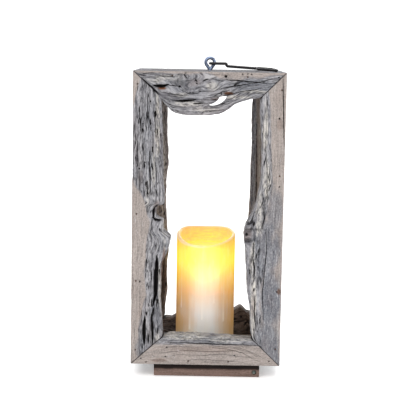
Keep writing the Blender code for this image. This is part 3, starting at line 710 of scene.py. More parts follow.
def hole_cutter(plank, outline):
    """A plug of the hole's outline, right through the board; its wall shows brown wood, a little
    darkened as painted shade.
    """
    path = smoothed([Vector((s, w, 0)) * MM for s, w in outline], 4, True)
    bm = bmesh.new()
    reach = plank.thick
    spots = [plank.place(np.array([p.x]), np.array([p.y]), np.array([-reach]))[0] for p in path]
    face = bm.faces.new([bm.verts.new(spot) for spot in spots])
    grown = bmesh.ops.extrude_face_region(bm, geom=[face])["geom"]
    verts = [g for g in grown if isinstance(g, bmesh.types.BMVert)]
    bmesh.ops.translate(bm, verts=verts, vec=plank.outward * 2 * reach)
    rims = [e for e in bm.edges if abs((e.verts[0].co - e.verts[1].co).dot(plank.outward)) > reach]
    bmesh.ops.subdivide_edges(bm, edges=rims, cuts=24, use_grid_fill=True)
    bmesh.ops.recalc_face_normals(bm, faces=bm.faces)
    layer = bm.loops.layers.uv.new("grain")
    for face in bm.faces:
        for loop in face.loops:
            place = loop.vert.co - plank.start
            loop[layer].uv = (place.dot(plank.along), place.dot(plank.outward))
    plug = mesh_object("hole_cutter", bm)
    mark(plug.data, carved=0.15, planed=0.0, stain=0.75, cool=0.0, bleached=0.0)
    return plug


def frame_planks(prefix, half_width, start, right, outward, thick):
    """The four planks of an upright frame; start is its lower middle, on its middle plane."""
    up, height, width = Vector((0, 0, 1)), TOP_Z - FRAME_Z, 2 * half_width
    left_foot, right_foot = start - right * half_width, start + right * half_width
    return {
        part: Plank(f"{prefix}_{part}", corner, along, across, outward, length, thick)
        for part, corner, along, across, length in (
            ("left_stile", left_foot, up, right, height),
            ("right_stile", right_foot, up, -right, height),
            ("top_rail", left_foot + up * height, right, -up, width),
            ("bottom_rail", left_foot, right, up, width),
        )
    }


# ---------------------------------------------------------------- how each board has weathered


# A board's look holds sizes in millimetres, measured along it from its start and across it from its
# outer edge. "planed" is the planed band's width by share of the length. A crack is its points, half
# its width, its depth and how dark it is painted (painted shade in a deep crack, dark grain in a
# shallow line); a knot (s, w, radius, pull on the grain); a pit (s, w, radius, depth), darkened as
# painted shade; "stains", "cool" and "bleached" are (s, w, reach along, reach across, amount).

FRONT_LOOKS = {
    "left_stile": {
        "seed": 3, "roll": 3, "furrows": 1.25, "flow": (46, 3), "swell": 1.1,
        "planed": [
            (0, 14), (0.06, 11), (0.13, 9), (0.2, 15), (0.35, 20), (0.5, 21), (0.57, 15), (0.615, 3),
            (0.66, -3), (0.85, -3), (0.92, 5), (1, 13),
        ],
        "knots": [(163, 50, 15, 0.5), (205, 34, 9, -0.25)],
        "cool": [
            (20, 18, 26, 14, 0.7), (60, 30, 30, 9, 0.6), (285, 24, 70, 14, 0.45), (150, 40, 30, 9, 0.5),
        ],
        "cracks": [
            ([(76, 28), (92, 31), (112, 31), (141, 32.5)], 3.6, 8), ([(62, 27.5), (74, 28.6)], 1.4, 5),
            ([(25, 17.5), (44, 16.5), (62, 18)], 2.8, 7), ([(27, 22.5), (40, 22)], 1.3, 4),
            ([(26, 28), (44, 27.5), (66, 26)], 1.9, 6), ([(217, 23.5), (246, 22), (274, 21.5)], 0.9, 3),
            ([(150, 26), (172, 24), (196, 27)], 0.6, 2, 0.8),
            ([(285, 30), (316, 27), (330, 26)], 0.6, 2, 0.9),
            ([(232, 12), (268, 14), (300, 12)], 0.6, 1.5, 0.8),
            ([(240, 6), (262, 7), (290, 6)], 0.7, 2, 0.9),
            ([(300, 17), (322, 19), (345, 17)], 0.6, 1.8, 0.85),
            ([(224, 30), (244, 31), (262, 29)], 0.6, 1.8, 0.85),
            ([(189.5, 26.4), (186, 29.5), (185.4, 34), (186.4, 39)], 2, 5),
            ([(204.5, 30.5), (197, 27.4), (188, 27.6)], 2.2, 5),
        ],
        "pits": [
            (106.9, 11, 1, 2.5), (250, 9, 1.3, 2.5), (258, 16, 1.1, 2.5), (334, 22, 1.2, 2.5),
            (312, 9, 1, 2), (306, 13, 0.9, 2),
        ],
        "stains": [(203, 31, 12, 5, 0.4), (118, 41, 40, 3, 0.7), (240, 10, 14, 5, 0.25)],
        "bleached": [
            (300, 31, 50, 4, 0.7), (166, 41, 24, 3, 0.4), (250, 27, 40, 3, 0.5), (100, 36, 40, 3, 0.7),
            (215, 20, 24, 5, 0.4), (30, 34, 14, 4, 0.5),
        ],
    },
    "right_stile": {
        "seed": 11, "roll": 3, "furrows": 0.8, "flow": (50, 2.6), "swell": 1.1,
        "planed": [(0, 24), (0.3, 26), (0.46, 27), (0.54, 18), (0.62, 15), (0.75, 18), (1, 24)],
        "knots": [(169, 46, 14, 0.9), (70, 30, 10, 0.4)],
        "cool": [
            (20, 15, 60, 22, 0.9), (90, 14, 60, 20, 0.95), (150, 20, 50, 22, 0.9), (195, 12, 40, 13, 0.7),
        ],
        "cracks": [
            ([(365, 5), (313, 2.8), (277, 1.2)], 0.7, 2.5),
            ([(60, 22), (96, 24), (150, 20), (182, 22)], 0.6, 2.5, 0.8),
            ([(44, 31), (70, 34), (92, 33)], 0.8, 3), ([(112, 34), (140, 37), (160, 36)], 0.6, 2.2),
            ([(205, 20), (250, 22), (292, 25)], 0.5, 1.6, 0.8),
            ([(176, 27), (190, 24), (204, 25)], 0.9, 2.5),
        ],
        "pits": [(169.4, 46, 2.4, 2.4), (128, 30, 1, 2), (315, 8, 1.2, 2), (230, 6, 1, 2)],
        "stains": [(169, 45, 12, 8, 0.4), (78, 35, 22, 4, 0.35), (97, 3, 6, 4, 0.8), (308, 8, 8, 5, 0.3)],
        "bleached": [
            (300, 25, 40, 4, 0.9), (240, 22, 40, 6, 0.8), (205, 30, 26, 6, 0.7), (80, 35, 60, 5, 0.8),
            (140, 38, 24, 5, 0.6), (180, 30, 18, 6, 0.6),
        ],
    },
    "top_rail": {
        "seed": 19, "roll": 3.4, "furrows": 1.15, "flow": (34, 4.6), "edge_weather": 0.9,
        "edge_shade": 0.22, "swell": 1.1, "splits": 0.55,
        "planed": [(0, 3), (0.3, 2), (0.48, 3), (0.56, 7), (0.66, 9), (0.8, 8), (0.9, 3), (1, 2)],
        "knots": [(72, 12, 11, 1.5), (98, 34, 9, -0.6), (122, 20, 12, 0.5), (33, 20, 9, 0.6)],
        "cool": [(60, 22, 50, 22, 0.5), (152, 17, 38, 13, 0.8), (112, 12, 22, 8, 0.4)],
        "hole": [
            (93.6, 41.6), (100.1, 38.8), (105.6, 34.7), (107.3, 31.6), (111.6, 30.3), (116.4, 30.4),
            (114.3, 35), (109.6, 39), (104.1, 41.6), (98.5, 42.6),
        ],
        "cracks": [
            ([(8, 7.3), (16, 14.6), (24, 21.6), (33, 29.6)], 1.5, 6),
            ([(25, 18.4), (32, 18.8), (38, 18.6), (44, 17)], 2.4, 7),
            ([(44, 17.6), (52, 18.6), (58, 19)], 0.6, 3), ([(52, 36.5), (62, 36.8), (78, 34.8)], 1.9, 6),
            ([(74, 39.8), (81, 39.4), (88, 38.4)], 1.1, 4), ([(86, 12.4), (94, 8.6)], 1, 3),
            ([(65, 1.6), (63.4, 5), (66.6, 8.4)], 0.9, 3), ([(76, 8), (79, 12), (78, 16)], 0.6, 2.5),
            ([(114, 9.5), (138, 11), (164.7, 13.6)], 0.9, 3),
            ([(104, 22), (124, 17.5), (150, 13)], 0.8, 2.5), ([(110, 24), (109, 29)], 0.8, 3),
            ([(120, 28), (134, 24), (158, 20)], 0.7, 2.2, 0.9),
            ([(100, 30), (110, 25), (120, 22.5)], 0.8, 2.4),
            ([(150, 14), (160, 11), (172, 8)], 0.7, 2, 0.8),
            ([(58, 22), (70, 28), (84, 27)], 0.6, 2, 0.8), ([(40, 26), (52, 29), (66, 31)], 0.7, 2, 0.8),
        ],
        "pits": [
            (57.9, 19, 1.5, 4), (77.7, 11.3, 1.2, 3), (79, 15, 1, 2.5), (114.8, 5.7, 1.7, 4),
            (135.3, 2.6, 0.9, 2), (141.5, 2.2, 0.8, 2), (146.4, 2.6, 0.8, 2), (180.1, 5.9, 1.1, 2.5),
            (71, 26, 0.8, 2),
        ],
        "stains": [
            (36, 21.5, 8, 2.6, 1), (118, 26.5, 8, 2.6, 1), (75, 14, 10, 6, 0.2), (104, 34, 9, 2, 0.5),
        ],
        "bleached": [
            (98, 18, 8, 8, 0.4), (66, 40, 22, 5, 0.5), (128, 31, 30, 3, 0.7), (48, 8, 22, 5, 0.4),
            (150, 24, 20, 3, 0.6), (90, 47, 26, 4, 0.5), (60, 29, 12, 3, 0.4), (30, 12, 12, 4, 0.5),
        ],
    },
    "bottom_rail": {
        "seed": 29, "roll": 6.5, "furrows": 0.75, "flow": (52, 3.4), "swell": 0.8, "splits": 0.4,
        "planed": [(0, 27), (0.5, 26.5), (1, 26)],
        "knots": [(60, 12, 10, 0.7), (128, 14, 12, 0.6)],
        "cool": [(95, 36, 110, 9, 0.6)],
        "bleached": [(70, 36, 40, 6, 0.75), (125, 34, 40, 5, 0.6)],
        "cracks": [
            ([(43, 28.9), (75, 28.2), (120, 27.2), (161, 26.6)], 0.8, 2, 0.9),
            ([(58, 34), (96, 34.6), (132, 33)], 0.5, 1.8, 0.6),
            ([(20, 12), (45, 16), (75, 19), (105, 17.5), (130, 19.5), (158, 15)], 0.45, 0.5, 0.55),
            ([(34, 8), (60, 13), (90, 12.5), (118, 14.5), (146, 11), (172, 9)], 0.45, 0.5, 0.5),
            ([(100, 23), (122, 21.5), (142, 17), (156, 9), (168, 4)], 0.5, 0.6, 0.6),
            ([(106, 25), (132, 22.5), (150, 18), (166, 10)], 0.45, 0.5, 0.5),
            ([(120, 25.5), (142, 22), (160, 15), (174, 8)], 0.45, 0.5, 0.5),
            ([(30, 22), (62, 24), (94, 22)], 0.45, 0.5, 0.45),
            ([(60, 5), (92, 7.5), (122, 6), (148, 4)], 0.45, 0.5, 0.45),
        ],
        "pits": [
            (45.8, 22.3, 1, 2.5), (44.4, 10.4, 0.8, 2), (13, 7.5, 0.8, 2), (132.1, 13, 0.9, 2),
            (176.5, 6, 0.9, 2), (19.8, 2.5, 0.9, 2),
        ],
        "stains": [(95, 20, 60, 6, 0.25), (36, 5, 12, 3, 0.45)],
    },
}
PLAIN_LOOK = {
    "roll": 4, "furrows": 1, "edge_weather": 0.9, "edge_shade": 0.2,
    "planed": [(0, 10), (0.5, 16), (1, 11)],
    "knots": [(120, 22, 12, 0.6)],
    "cracks": [([(60, 20), (90, 22), (120, 19)], 0.9, 3), ([(20, 12), (48, 13)], 0.6, 2)],
    "pits": [(70, 14, 1.1, 2.5), (32, 24, 0.9, 2)],
    "stains": [(80, 24, 30, 7, 0.5)],
}
# What sets single boards of the other frames apart.
OWN_LOOKS = {
    "rear_right_stile": {
        "ragged": 0.2, "roll": 2,
        "planed": [(0, 34), (1, 34)],
        "knots": [(60, 20, 12, 0.5)],
        "cracks": [([(120, 30), (200, 29), (300, 30.5)], 0.7, 2), ([(90, 24), (180, 25)], 0.5, 1.5)],
        "cool": [(235, 34, 150, 4.5, 0.8)],
        "stains": [(180, 27, 90, 2.5, 0.3)],
        "bleached": [(260, 26, 90, 2.5, 0.7), (130, 27, 60, 2, 0.6)],
    },
    "rear_left_stile": {
        "planed": [(0, 6), (0.4, 12), (1, 8)],
        "knots": [(250, 24, 12, 0.6)],
        "stains": [(80, 34, 66, 8, 0.85)],
        "bleached": [(240, 34, 70, 4, 0.5)],
        "cracks": [([(200, 26), (240, 28), (292, 27)], 0.9, 3), ([(110, 16), (150, 17)], 0.6, 2)],
    },
    "rear_bottom_rail": {
        "planed": [(0, 4), (0.5, 8), (1, 3)],
        "knots": [(48, 22, 9, 0.8), (142, 20, 10, 0.8)],
        # Painted shade: this wide dark zone, given as a stain, covers the rail's whole inner face, which lies
        # in shade behind the front frame.
        "stains": [(95, 18, 130, 60, 0.6)],
        "pits": [(144, 33, 1.5, 3.5), (100, 20, 0.9, 2)],
        "cracks": [([(125, 24), (142, 27), (158, 24)], 0.7, 2)],
    },
    "rear_top_rail": {
        "planed": [(0, 22), (0.5, 18), (1, 24)],
        "knots": [(95, 8, 14, 0.7)],
        "cracks": [([(50, 12), (86, 15), (130, 11)], 0.8, 2.5)],
    },
    "left_side_left_stile": {"knots": [(130, 22, 11, 0.8)], "planed": [(0, 6), (0.5, 10), (1, 5)]},
    "left_side_right_stile": {"knots": [(205, 24, 12, 0.8)], "planed": [(0, 14), (0.4, 17), (1, 8)]},
    "right_side_left_stile": {"knots": [(212, 24, 12, 0.8)], "planed": [(0, 8), (0.6, 18), (1, 15)]},
    "right_side_right_stile": {"knots": [(148, 23, 11, 0.8)], "planed": [(0, 12), (0.5, 6), (1, 12)]},
    "left_side_top_rail": {"knots": [(72, 34, 12, 0.7)], "planed": [(0, 8), (0.5, 12), (1, 18)]},
    "right_side_top_rail": {"knots": [(92, 36, 12, 0.7)], "planed": [(0, 18), (0.5, 12), (1, 6)]},
}


# ---------------------------------------------------------------- the four frames


def brad_dimples(plank):
    """(s, w, radius, depth) in millimetres for each brad whose head is in this board's face."""
    spots = []
    for node in NODES:
        if "_brad_" not in node:
            continue
        low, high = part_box(node)
        place = (low + high) / 2 - plank.start
        s, w = place.dot(plank.along), place.dot(plank.across)
        head = (low if plank.outward.y < 0 else high) - plank.start
        if abs(head.dot(plank.outward) - plank.thick / 2) < MM and 0 < s < plank.length:
            if w < plank.width_at(s):
                spots.append((s / MM, w / MM, 1.25, 0.5))
    return spots


def build_frames(finishes):
    frames = {
        "front": (Vector((0, FRONT_Y + HALF_FACE, FRAME_Z)), Vector((1, 0, 0)), Vector((0, -1, 0)),
                  HALF_WIDTH, 2 * HALF_FACE, "front_driftwood", 1.0),
        "rear": (Vector((0, REAR_Y - HALF_FACE, FRAME_Z)), Vector((1, 0, 0)), Vector((0, -1, 0)),
                 HALF_WIDTH, 2 * HALF_FACE, "rear_driftwood", 0.62),
        "left_side": (Vector((-SIDE_IN - HALF_SIDE, 0, FRAME_Z)), Vector((0, -1, 0)), Vector((-1, 0, 0)),
                      SIDE_REACH, 2 * HALF_SIDE, "side_driftwood", 0.62),
        "right_side": (Vector((SIDE_IN + HALF_SIDE, 0, FRAME_Z)), Vector((0, 1, 0)), Vector((1, 0, 0)),
                       SIDE_REACH, 2 * HALF_SIDE, "side_driftwood", 0.62),
    }
    seed = 40
    for prefix, (start, right, outward, reach, thick, finish, fine) in frames.items():
        for part, plank in frame_planks(prefix, reach, start, right, outward, thick).items():
            seed += 7
            look = dict(FRONT_LOOKS[part]) if prefix == "front" else {
                **PLAIN_LOOK, **OWN_LOOKS.get(plank.node, {}), "seed": seed}
            look["pits"] = list(look["pits"]) + brad_dimples(plank)
            board = grow_board(plank, f"carved_{plank.node}", look, fine)
            stand_for(board, "lantern", finishes, finish, plank.node)


# ---------------------------------------------------------------- round things


def spun(name, profile, place, steps=64):
    """A closed solid turned from (radius, height) points."""
    bm = bmesh.new()
    points = [bm.verts.new((radius, 0, height)) for radius, height in profile]
    edges = [bm.edges.new(pair) for pair in zip(points, points[1:])]
    bmesh.ops.spin(bm, geom=points + edges, cent=(0, 0, 0), axis=(0, 0, 1), angle=2 * math.pi,
                   steps=steps, use_merge=True)
    bmesh.ops.remove_doubles(bm, verts=bm.verts, dist=1e-7)
    bmesh.ops.recalc_face_normals(bm, faces=bm.faces)
    bmesh.ops.translate(bm, verts=bm.verts, vec=place)
    return mesh_object(name, bm)


def tube(name, path, radius, sides=14, closed=False):
    """A round wire along a path of places, with capped ends."""
    bm = bmesh.new()
    rings = []
    normal = None
    count = len(path)
    for k, place in enumerate(path):
        before = path[k - 1] if k or closed else path[k]
        after = path[(k + 1) % count] if k < count - 1 or closed else path[k]
        forward = (after - before).normalized()
        if normal is None:
            normal = forward.orthogonal().normalized()
        normal = (normal - forward * normal.dot(forward)).normalized()
        side = forward.cross(normal)
        rings.append([
            bm.verts.new(place + radius * (math.cos(a) * normal + math.sin(a) * side))
            for a in (2 * math.pi * j / sides for j in range(sides))
        ])
    loops = []
    for ring in rings:
        loops.append([bm.edges.new((ring[j], ring[(j + 1) % sides])) for j in range(sides)])
    pairs = list(zip(loops, loops[1:])) + ([(loops[-1], loops[0])] if closed else [])
    for one, other in pairs:
        bmesh.ops.bridge_loops(bm, edges=one + other)
    if not closed:
        bmesh.ops.holes_fill(bm, edges=[e for e in bm.edges if e.is_boundary], sides=0)
    bmesh.ops.recalc_face_normals(bm, faces=bm.faces)
    return mesh_object(name, bm)


def smoothed(points, steps=6, closed=False):
    """Places on a smooth line through the points."""
    count = len(points)
    path = []
    for k in range(count if closed else count - 1):
        if closed:
            p0, p1, p2, p3 = (points[(k + j - 1) % count] for j in range(4))
        else:
            p0, p1, p2, p3 = (points[min(max(k + j - 1, 0), count - 1)] for j in range(4))
        for j in range(steps):
            t = j / steps
            path.append(0.5 * (
                2 * p1 + (p2 - p0) * t + (2 * p0 - 5 * p1 + 4 * p2 - p3) * t**2
                + (3 * p1 - p0 - 3 * p2 + p3) * t**3
            ))
    if not closed:
        path.append(points[-1])
    return path


def arc(centre, radius, start, end, steps, one=Vector((1, 0, 0)), two=Vector((0, 0, 1))):
    return [
        Vector(centre) + radius * (math.cos(a) * one + math.sin(a) * two)
        for a in (math.radians(start + (end - start) * k / steps) for k in range(steps + 1))
    ]


def round_bore(place, radius, low, high, steps=24):
    return spun("bore", [(0, low), (radius, low), (radius, high), (0, high)], place, steps)


def bored(item, cutter):
    """Takes the cutter's shape out of the item."""
    boolean = item.modifiers.new("bore", "BOOLEAN")
    boolean.operation = "DIFFERENCE"
    boolean.solver = "EXACT"
    boolean.object = cutter
    graph = bpy.context.evaluated_depsgraph_get()
    result = bpy.data.meshes.new_from_object(item.evaluated_get(graph), preserve_all_data_layers=True,
                                             depsgraph=graph)
    item.modifiers.clear()
    old = item.data
    item.data = result
    bpy.data.meshes.remove(old)
    shape = cutter.data
    bpy.data.objects.remove(cutter)
    bpy.data.meshes.remove(shape)


# ---------------------------------------------------------------- sawn boards and feet


def map_slab(bm, seed):
    """The grain's map on a sawn board whose grain runs along X."""
    layer = bm.loops.layers.uv.new("grain")
    for face in bm.faces:
        n = face.normal
        for loop in face.loops:
            co = loop.vert.co
            if abs(n.x) > 0.8:  # end grain, with short streaks
                loop[layer].uv = (co.y * 0.3 + seed, co.z * 0.5 + seed)
            elif abs(n.z) > abs(n.y):
                loop[layer].uv = (co.x + seed, co.y + seed)
            else:
                loop[layer].uv = (co.x + seed, co.z + seed + 0.3)


def grow_slab(node, name, look):
    """A sawn board in a CAD box's place: eased edges, saw marks, and rough wood."""
    low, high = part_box(node)
    size, middle = high - low, (low + high) / 2
    pitch = look.get("pitch", 2.0) * MM
    bm = bmesh.new()
    bmesh.ops.create_cube(bm, size=1)
    bmesh.ops.scale(bm, vec=size, verts=bm.verts)
    bmesh.ops.bevel(bm, geom=bm.edges[:], offset=look.get("ease", 0.8) * MM, offset_type="OFFSET",
                    segments=2, profile=0.5, affect="EDGES", material=-1)
    for axis in range(3):
        count = int(size[axis] / (pitch * (1.6, 1, 1)[axis]))
        for k in range(1, count):
            at = Vector((0, 0, 0))
            at[axis] = size[axis] * (k / count - 0.5)
            normal = Vector((0, 0, 0))
            normal[axis] = 1
            bmesh.ops.bisect_plane(bm, geom=bm.verts[:] + bm.edges[:] + bm.faces[:], plane_co=at,
                                   plane_no=normal, dist=1e-6)
    bm.normal_update()
    seed = look.get("seed", 1)
    places = np.array([v.co for v in bm.verts])
    normals = np.array([v.normal for v in bm.verts])
    x, y, z = places.T
    rough = layered_noise(x / 0.05, y / 0.004, z / 0.004, seed, 3)
    saw = layered_noise(x / 0.0035, y / 0.05, z / 0.03, seed + 5, 2)
    chip = layered_noise(x / 0.012, y / 0.01, z / 0.01, seed + 9, 3)
    deep = look.get("rough", 0.3) * MM * (0.5 + 0.5 * rough) + 0.12 * MM * (0.5 + 0.5 * saw)
    corner = 1 - np.abs(normals).max(1)
    deep = deep + look.get("chips", 0.8) * MM * np.clip(corner * 3, 0, 1) * np.clip(chip, 0, 1)
    for vert, depth, normal in zip(bm.verts, deep, normals):
        vert.co = vert.co - Vector(normal) * depth
    map_slab(bm, seed)
    bmesh.ops.translate(bm, verts=bm.verts, vec=middle)
    item = mesh_object(name, bm, 40)
    mesh = item.data
    heights = np.array([v.co.z for v in mesh.vertices])
    # Painted shadow: a band across the top of the board is darkened and browned, as where the frame above
    # shades it.
    band = smooth_step(*look.get("painted_shadow_band", (1.0, 2.0)), (heights - low.z) / size.z + 0.06 * chip)
    mark(mesh, carved=band * 0.8, planed=look.get("planed_share", 0.7),
         stain=np.maximum(look.get("brown", 0.2), band), cool=0.0, bleached=0.0)
    return item


def build_foot_plug(foot, finishes):
    """A small wood plug, turned end grain out, near the right end of the front foot's face."""
    low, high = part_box("front_foot")
    place = Vector((high.x - 7 * MM, low.y, low.z + 6.6 * MM))
    sideways = Matrix.Rotation(math.radians(90), 4, "X")
    hole = round_bore(Vector((0, 0, 0)), 3.1 * MM, -2 * MM, 3 * MM)
    plug = spun("end_grain_plug", [(0, -1.9 * MM), (2.1 * MM, -1.9 * MM), (2.2 * MM, -0.5 * MM),
                                   (1.9 * MM, -0.2 * MM), (0, -0.1 * MM)], (0, 0, 0), 32)
    for item in (hole, plug):
        item.data.transform(Matrix.Translation(place) @ sideways)
    bored(foot, hole)
    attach(plug, "lantern")
    plug.data.materials.append(finishes["end_grain"])


def foot_screw(name, place, low, high):
    """A countersunk screw, its slotted head downwards."""
    head, core, crest = 3.4 * MM, 1.15 * MM, 1.7 * MM
    profile = [(0, low), (head - 0.2 * MM, low), (head, low + 0.2 * MM), (head, low + 0.5 * MM),
               (crest, low + 2.2 * MM)]
    z = low + 3.4 * MM
    while z < high - 2.6 * MM:
        profile += [(core, z), (core, z + 0.2 * MM), (crest, z + 0.6 * MM), (crest, z + 0.7 * MM)]
        z += 1.1 * MM
    profile += [(core, z), (0.25 * MM, high - 0.1 * MM), (0, high)]
    screw = spun(name, profile, place, 28)
    bm = bmesh.new()
    bmesh.ops.create_cube(bm, size=1)
    bmesh.ops.scale(bm, vec=(head * 2.4, 0.9 * MM, 1.6 * MM), verts=bm.verts)
    bmesh.ops.translate(bm, vec=(place.x, place.y, low), verts=bm.verts)
    bored(screw, mesh_object("slot", bm))
    return screw


# The feet carry a painted shadow along their tops, under the frame.
FOOT_LOOK = {"pitch": 1.5, "brown": 0.0, "planed_share": 1.0, "rough": 0.5, "chips": 1.6, "ease": 1.0,
             "painted_shadow_band": (0.5, 0.68)}


def build_slabs(finishes):
    top = grow_slab("top_board", "sawn_top_board", {"seed": 2, "pitch": 2.2})
    floor = grow_slab("bottom_board", "sawn_bottom_board", {"seed": 4, "pitch": 2.4, "brown": 0.5})
    eye_low, eye_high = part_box("screw_eye")
    shank = Vector(((eye_low.x + eye_high.x) / 2, 0, 0))
    bored(top, round_bore(shank, EYE_WIRE + 0.2 * MM, eye_low.z - 0.4 * MM, TOP_Z + MM))
    feet = {side: grow_slab(f"{side}_foot", f"sawn_{side}_foot", {**FOOT_LOOK, "seed": seed})
            for side, seed in (("front", 6), ("rear", 8))}
    for side in ("front", "rear"):
        for hand in ("left", "right"):
            low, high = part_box(f"{side}_{hand}_foot_screw")
            place = Vector(((low.x + high.x) / 2, (low.y + high.y) / 2, 0))
            head = (high.x - low.x) / 2 + 0.3 * MM
            bored(feet[side], round_bore(place, head, -MM, low.z + 2.6 * MM))
            bored(feet[side], round_bore(place, head / 2, low.z + 2 * MM, FRAME_Z + MM))
            bored(floor, round_bore(place, head / 2, FRAME_Z - MM, high.z + 0.3 * MM))
            screw = foot_screw(f"turned_{side}_{hand}_foot_screw", place, low.z, high.z)
            stand_for(screw, "lantern", finishes, "screw_steel",
                      f"{side}_{hand}_foot_screw")
    build_foot_plug(feet["front"], finishes)
    stand_for(top, "lantern", finishes, "top_wood", "top_board")
    stand_for(floor, "lantern", finishes, "rear_driftwood", "bottom_board")
    for side, foot in feet.items():
        stand_for(foot, "lantern", finishes, "foot_wood", f"{side}_foot")


# ---------------------------------------------------------------- eye and bail


def build_eye(finishes):
    """One wire: a shank up out of the top board, round the ring, and back to the neck."""
    neck_drop = EYE_RISE - 0.7 * MM
    tangent = math.degrees(math.acos(EYE_RADIUS / neck_drop))
    ring = arc(RING_CENTRE, EYE_RADIUS, 270 - tangent, -90 + tangent, 40)
    neck = RING_CENTRE - Vector((0, 0, neck_drop))
    way = (ring[-1] - neck).normalized()
    stop = neck + way * 1.2 * MM
    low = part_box("screw_eye")[0].z
    shank = [Vector((0, 0, low)), Vector((0, 0, TOP_Z - 4 * MM)), neck - Vector((0, 0, 1.5 * MM)),
             neck + (ring[0] - neck) * 0.12]
    path = smoothed(shank, 4)[:-1] + [shank[-1]]
    path += ring + [ring[-1].lerp(stop, k / 4) for k in range(1, 5)]
    eye = tube("wrought_screw_eye", path, EYE_WIRE, 20)
    stand_for(eye, "lantern", finishes, "zinc_wire", "screw_eye")


def build_bail(finishes):
    """A closed loop of wire: a narrow neck through the eye, a crank, two legs and a wide handle."""
    neck = EYE_WIRE + BAIL_WIRE + 2.2 * MM
    neck_length, crank_run, crank_drop = 20.5 * MM, 1.5 * MM, 3.3 * MM
    shoulder, reach, spread, corner = 60.5 * MM, 84.2 * MM, 45 * MM, 6 * MM
    low = EYE_RISE - PIVOT_DROP - BAIL_WIRE - 0.3 * MM
    slope_start = neck_length + crank_run
    along, side_way = Vector((1, 0, 0)), Vector((0, 1, 0))

    def height(x):
        return -crank_drop - (x - slope_start) / (reach - slope_start) * (low - crank_drop)

    def legs(start, end, count):
        return [Vector((x, neck, height(x))) for x in np.linspace(start, end, count)]

    half = arc((neck, 0, 0), neck, 180, 90, 8, along, side_way)
    half += [Vector((x, neck, 0)) for x in np.linspace(neck * 1.5, neck_length - 0.6 * MM, 5)]
    half += [Vector((neck_length + 0.4 * MM, neck, -0.4 * MM)),
             Vector((neck_length + crank_run * 0.5, neck, -crank_drop * 0.5)),
             Vector((slope_start - 0.2 * MM, neck, height(slope_start) + 0.5 * MM))]
    half += legs(slope_start + 2 * MM, shoulder - corner - 3 * MM, 8)
    inner, outer = neck + corner, spread - corner
    for x, y, start, end in ((shoulder - corner, inner, -90, 0), (shoulder + corner, outer, 180, 90),
                             (reach - corner, outer, 90, 0)):
        half += [Vector((p.x, p.y, height(p.x)))
                 for p in arc((x, y, 0), corner, start, end, 8, along, side_way)]
    half += [Vector((reach, y, height(reach))) for y in (26 * MM, 13 * MM)]
    other = [Vector((p.x, -p.y, p.z)) for p in reversed(half[1:])]
    points = half + [Vector((reach, 0, height(reach)))] + other
    pivot = RING_CENTRE - Vector((0, 0, PIVOT_DROP))
    path = smoothed([p + pivot for p in points], 3, True)
    bail = tube("bent_bail", path, BAIL_WIRE, 16, True)
    stand_for(bail, "bail", finishes, "black_wire", "bail_wire")


# ---------------------------------------------------------------- candle


TALL = CANDLE_HIGH.z - CANDLE_LOW.z
INNER = CANDLE_RADIUS - 4.5 * MM  # the wall's inner face, at the rim
CRATER = TALL - 22 * MM
# How far the rim has melted down, in millimetres, by degrees round from the front.
RIM_DIPS = ((-180, 1.2), (-138, 0), (-122, 0.4), (-108, 2.6), (-92, 4.0), (-71, 7.8), (-43, 14.6),
            (-15, 17.0), (0, 16.8), (18, 15.0), (39, 11.6), (65, 7.0), (92, 3.4), (108, 2.6),
            (122, 0.4), (138, 0), (180, 1.2))
# Runs of wax: the turn from the front, the height of the bead, half the width, and the strength.
WAX_RUNS = ((-0.94, 0.054, 0.042, 0.6), (-0.54, 0.027, 0.036, 0.6), (0.67, 0.038, 0.042, 0.9),
            (-0.10, 0.041, 0.036, 0.4), (0.30, 0.063, 0.034, 0.3), (1.7, 0.05, 0.05, 0.5),
            (2.6, 0.07, 0.05, 0.5), (-2.1, 0.04, 0.05, 0.5))


def candle_section():
    """The shell's closed section, as (radius, height): wall, rim, bowl, pool and hollow foot."""
    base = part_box("candle_base")
    hollow = (base[1].x - base[0].x) / 2 + 0.3 * MM
    hollow_top = CRATER - 10 * MM
    wall = [(CANDLE_RADIUS, z) for z in np.linspace(1.2 * MM, TALL - 3 * MM, 96)]
    rim = [(CANDLE_RADIUS - 0.3 * MM, TALL - 1.6 * MM), (CANDLE_RADIUS - 1.0 * MM, TALL - 0.6 * MM),
           (CANDLE_RADIUS - 2.0 * MM, TALL - 0.1 * MM), (INNER + 1.4 * MM, TALL - 0.2 * MM),
           (INNER + 0.6 * MM, TALL - 0.9 * MM), (INNER + 0.2 * MM, TALL - 2.2 * MM)]
    bowl = [(INNER - t * 1.2 * MM, TALL - 2.2 * MM - t * 13 * MM) for t in np.linspace(0.15, 1, 9)]
    bowl += [(INNER - 1.2 * MM - 6 * MM * math.sin(a), CRATER + 6.8 * MM - 5.6 * MM * (1 - math.cos(a)))
             for a in np.linspace(0.25, math.pi / 2, 6)]
    pool = [(r, CRATER + 0.4 * MM + 0.8 * MM * (r / INNER) ** 2)
            for r in np.linspace(INNER - 10 * MM, 0, 8)]
    foot = [(0, hollow_top), (hollow / 2, hollow_top), (hollow - MM, hollow_top),
            (hollow, hollow_top - MM), (hollow, TALL / 2), (hollow, 0.5 * MM), (hollow + 0.4 * MM, 0),
            (CANDLE_RADIUS - 1.2 * MM, 0), (CANDLE_RADIUS - 0.3 * MM, 0.4 * MM)]
    return wall + rim + bowl + pool + foot


def rim_dip(turn):
    """How far the rim has melted down there, with a soft waver over the front."""
    turns, dips = np.array(RIM_DIPS).T
    dip = 0.0
    for away in (0.0, -0.09, -0.045, 0.045, 0.09):
        dip = dip + np.interp(turn + away, np.radians(turns), dips * MM)
    waver = value_noise(np.cos(turn) * 3, np.sin(turn) * 3, np.zeros_like(turn), 7)
    return dip / 5 + 0.5 * MM * waver * (np.cos(turn) > 0)


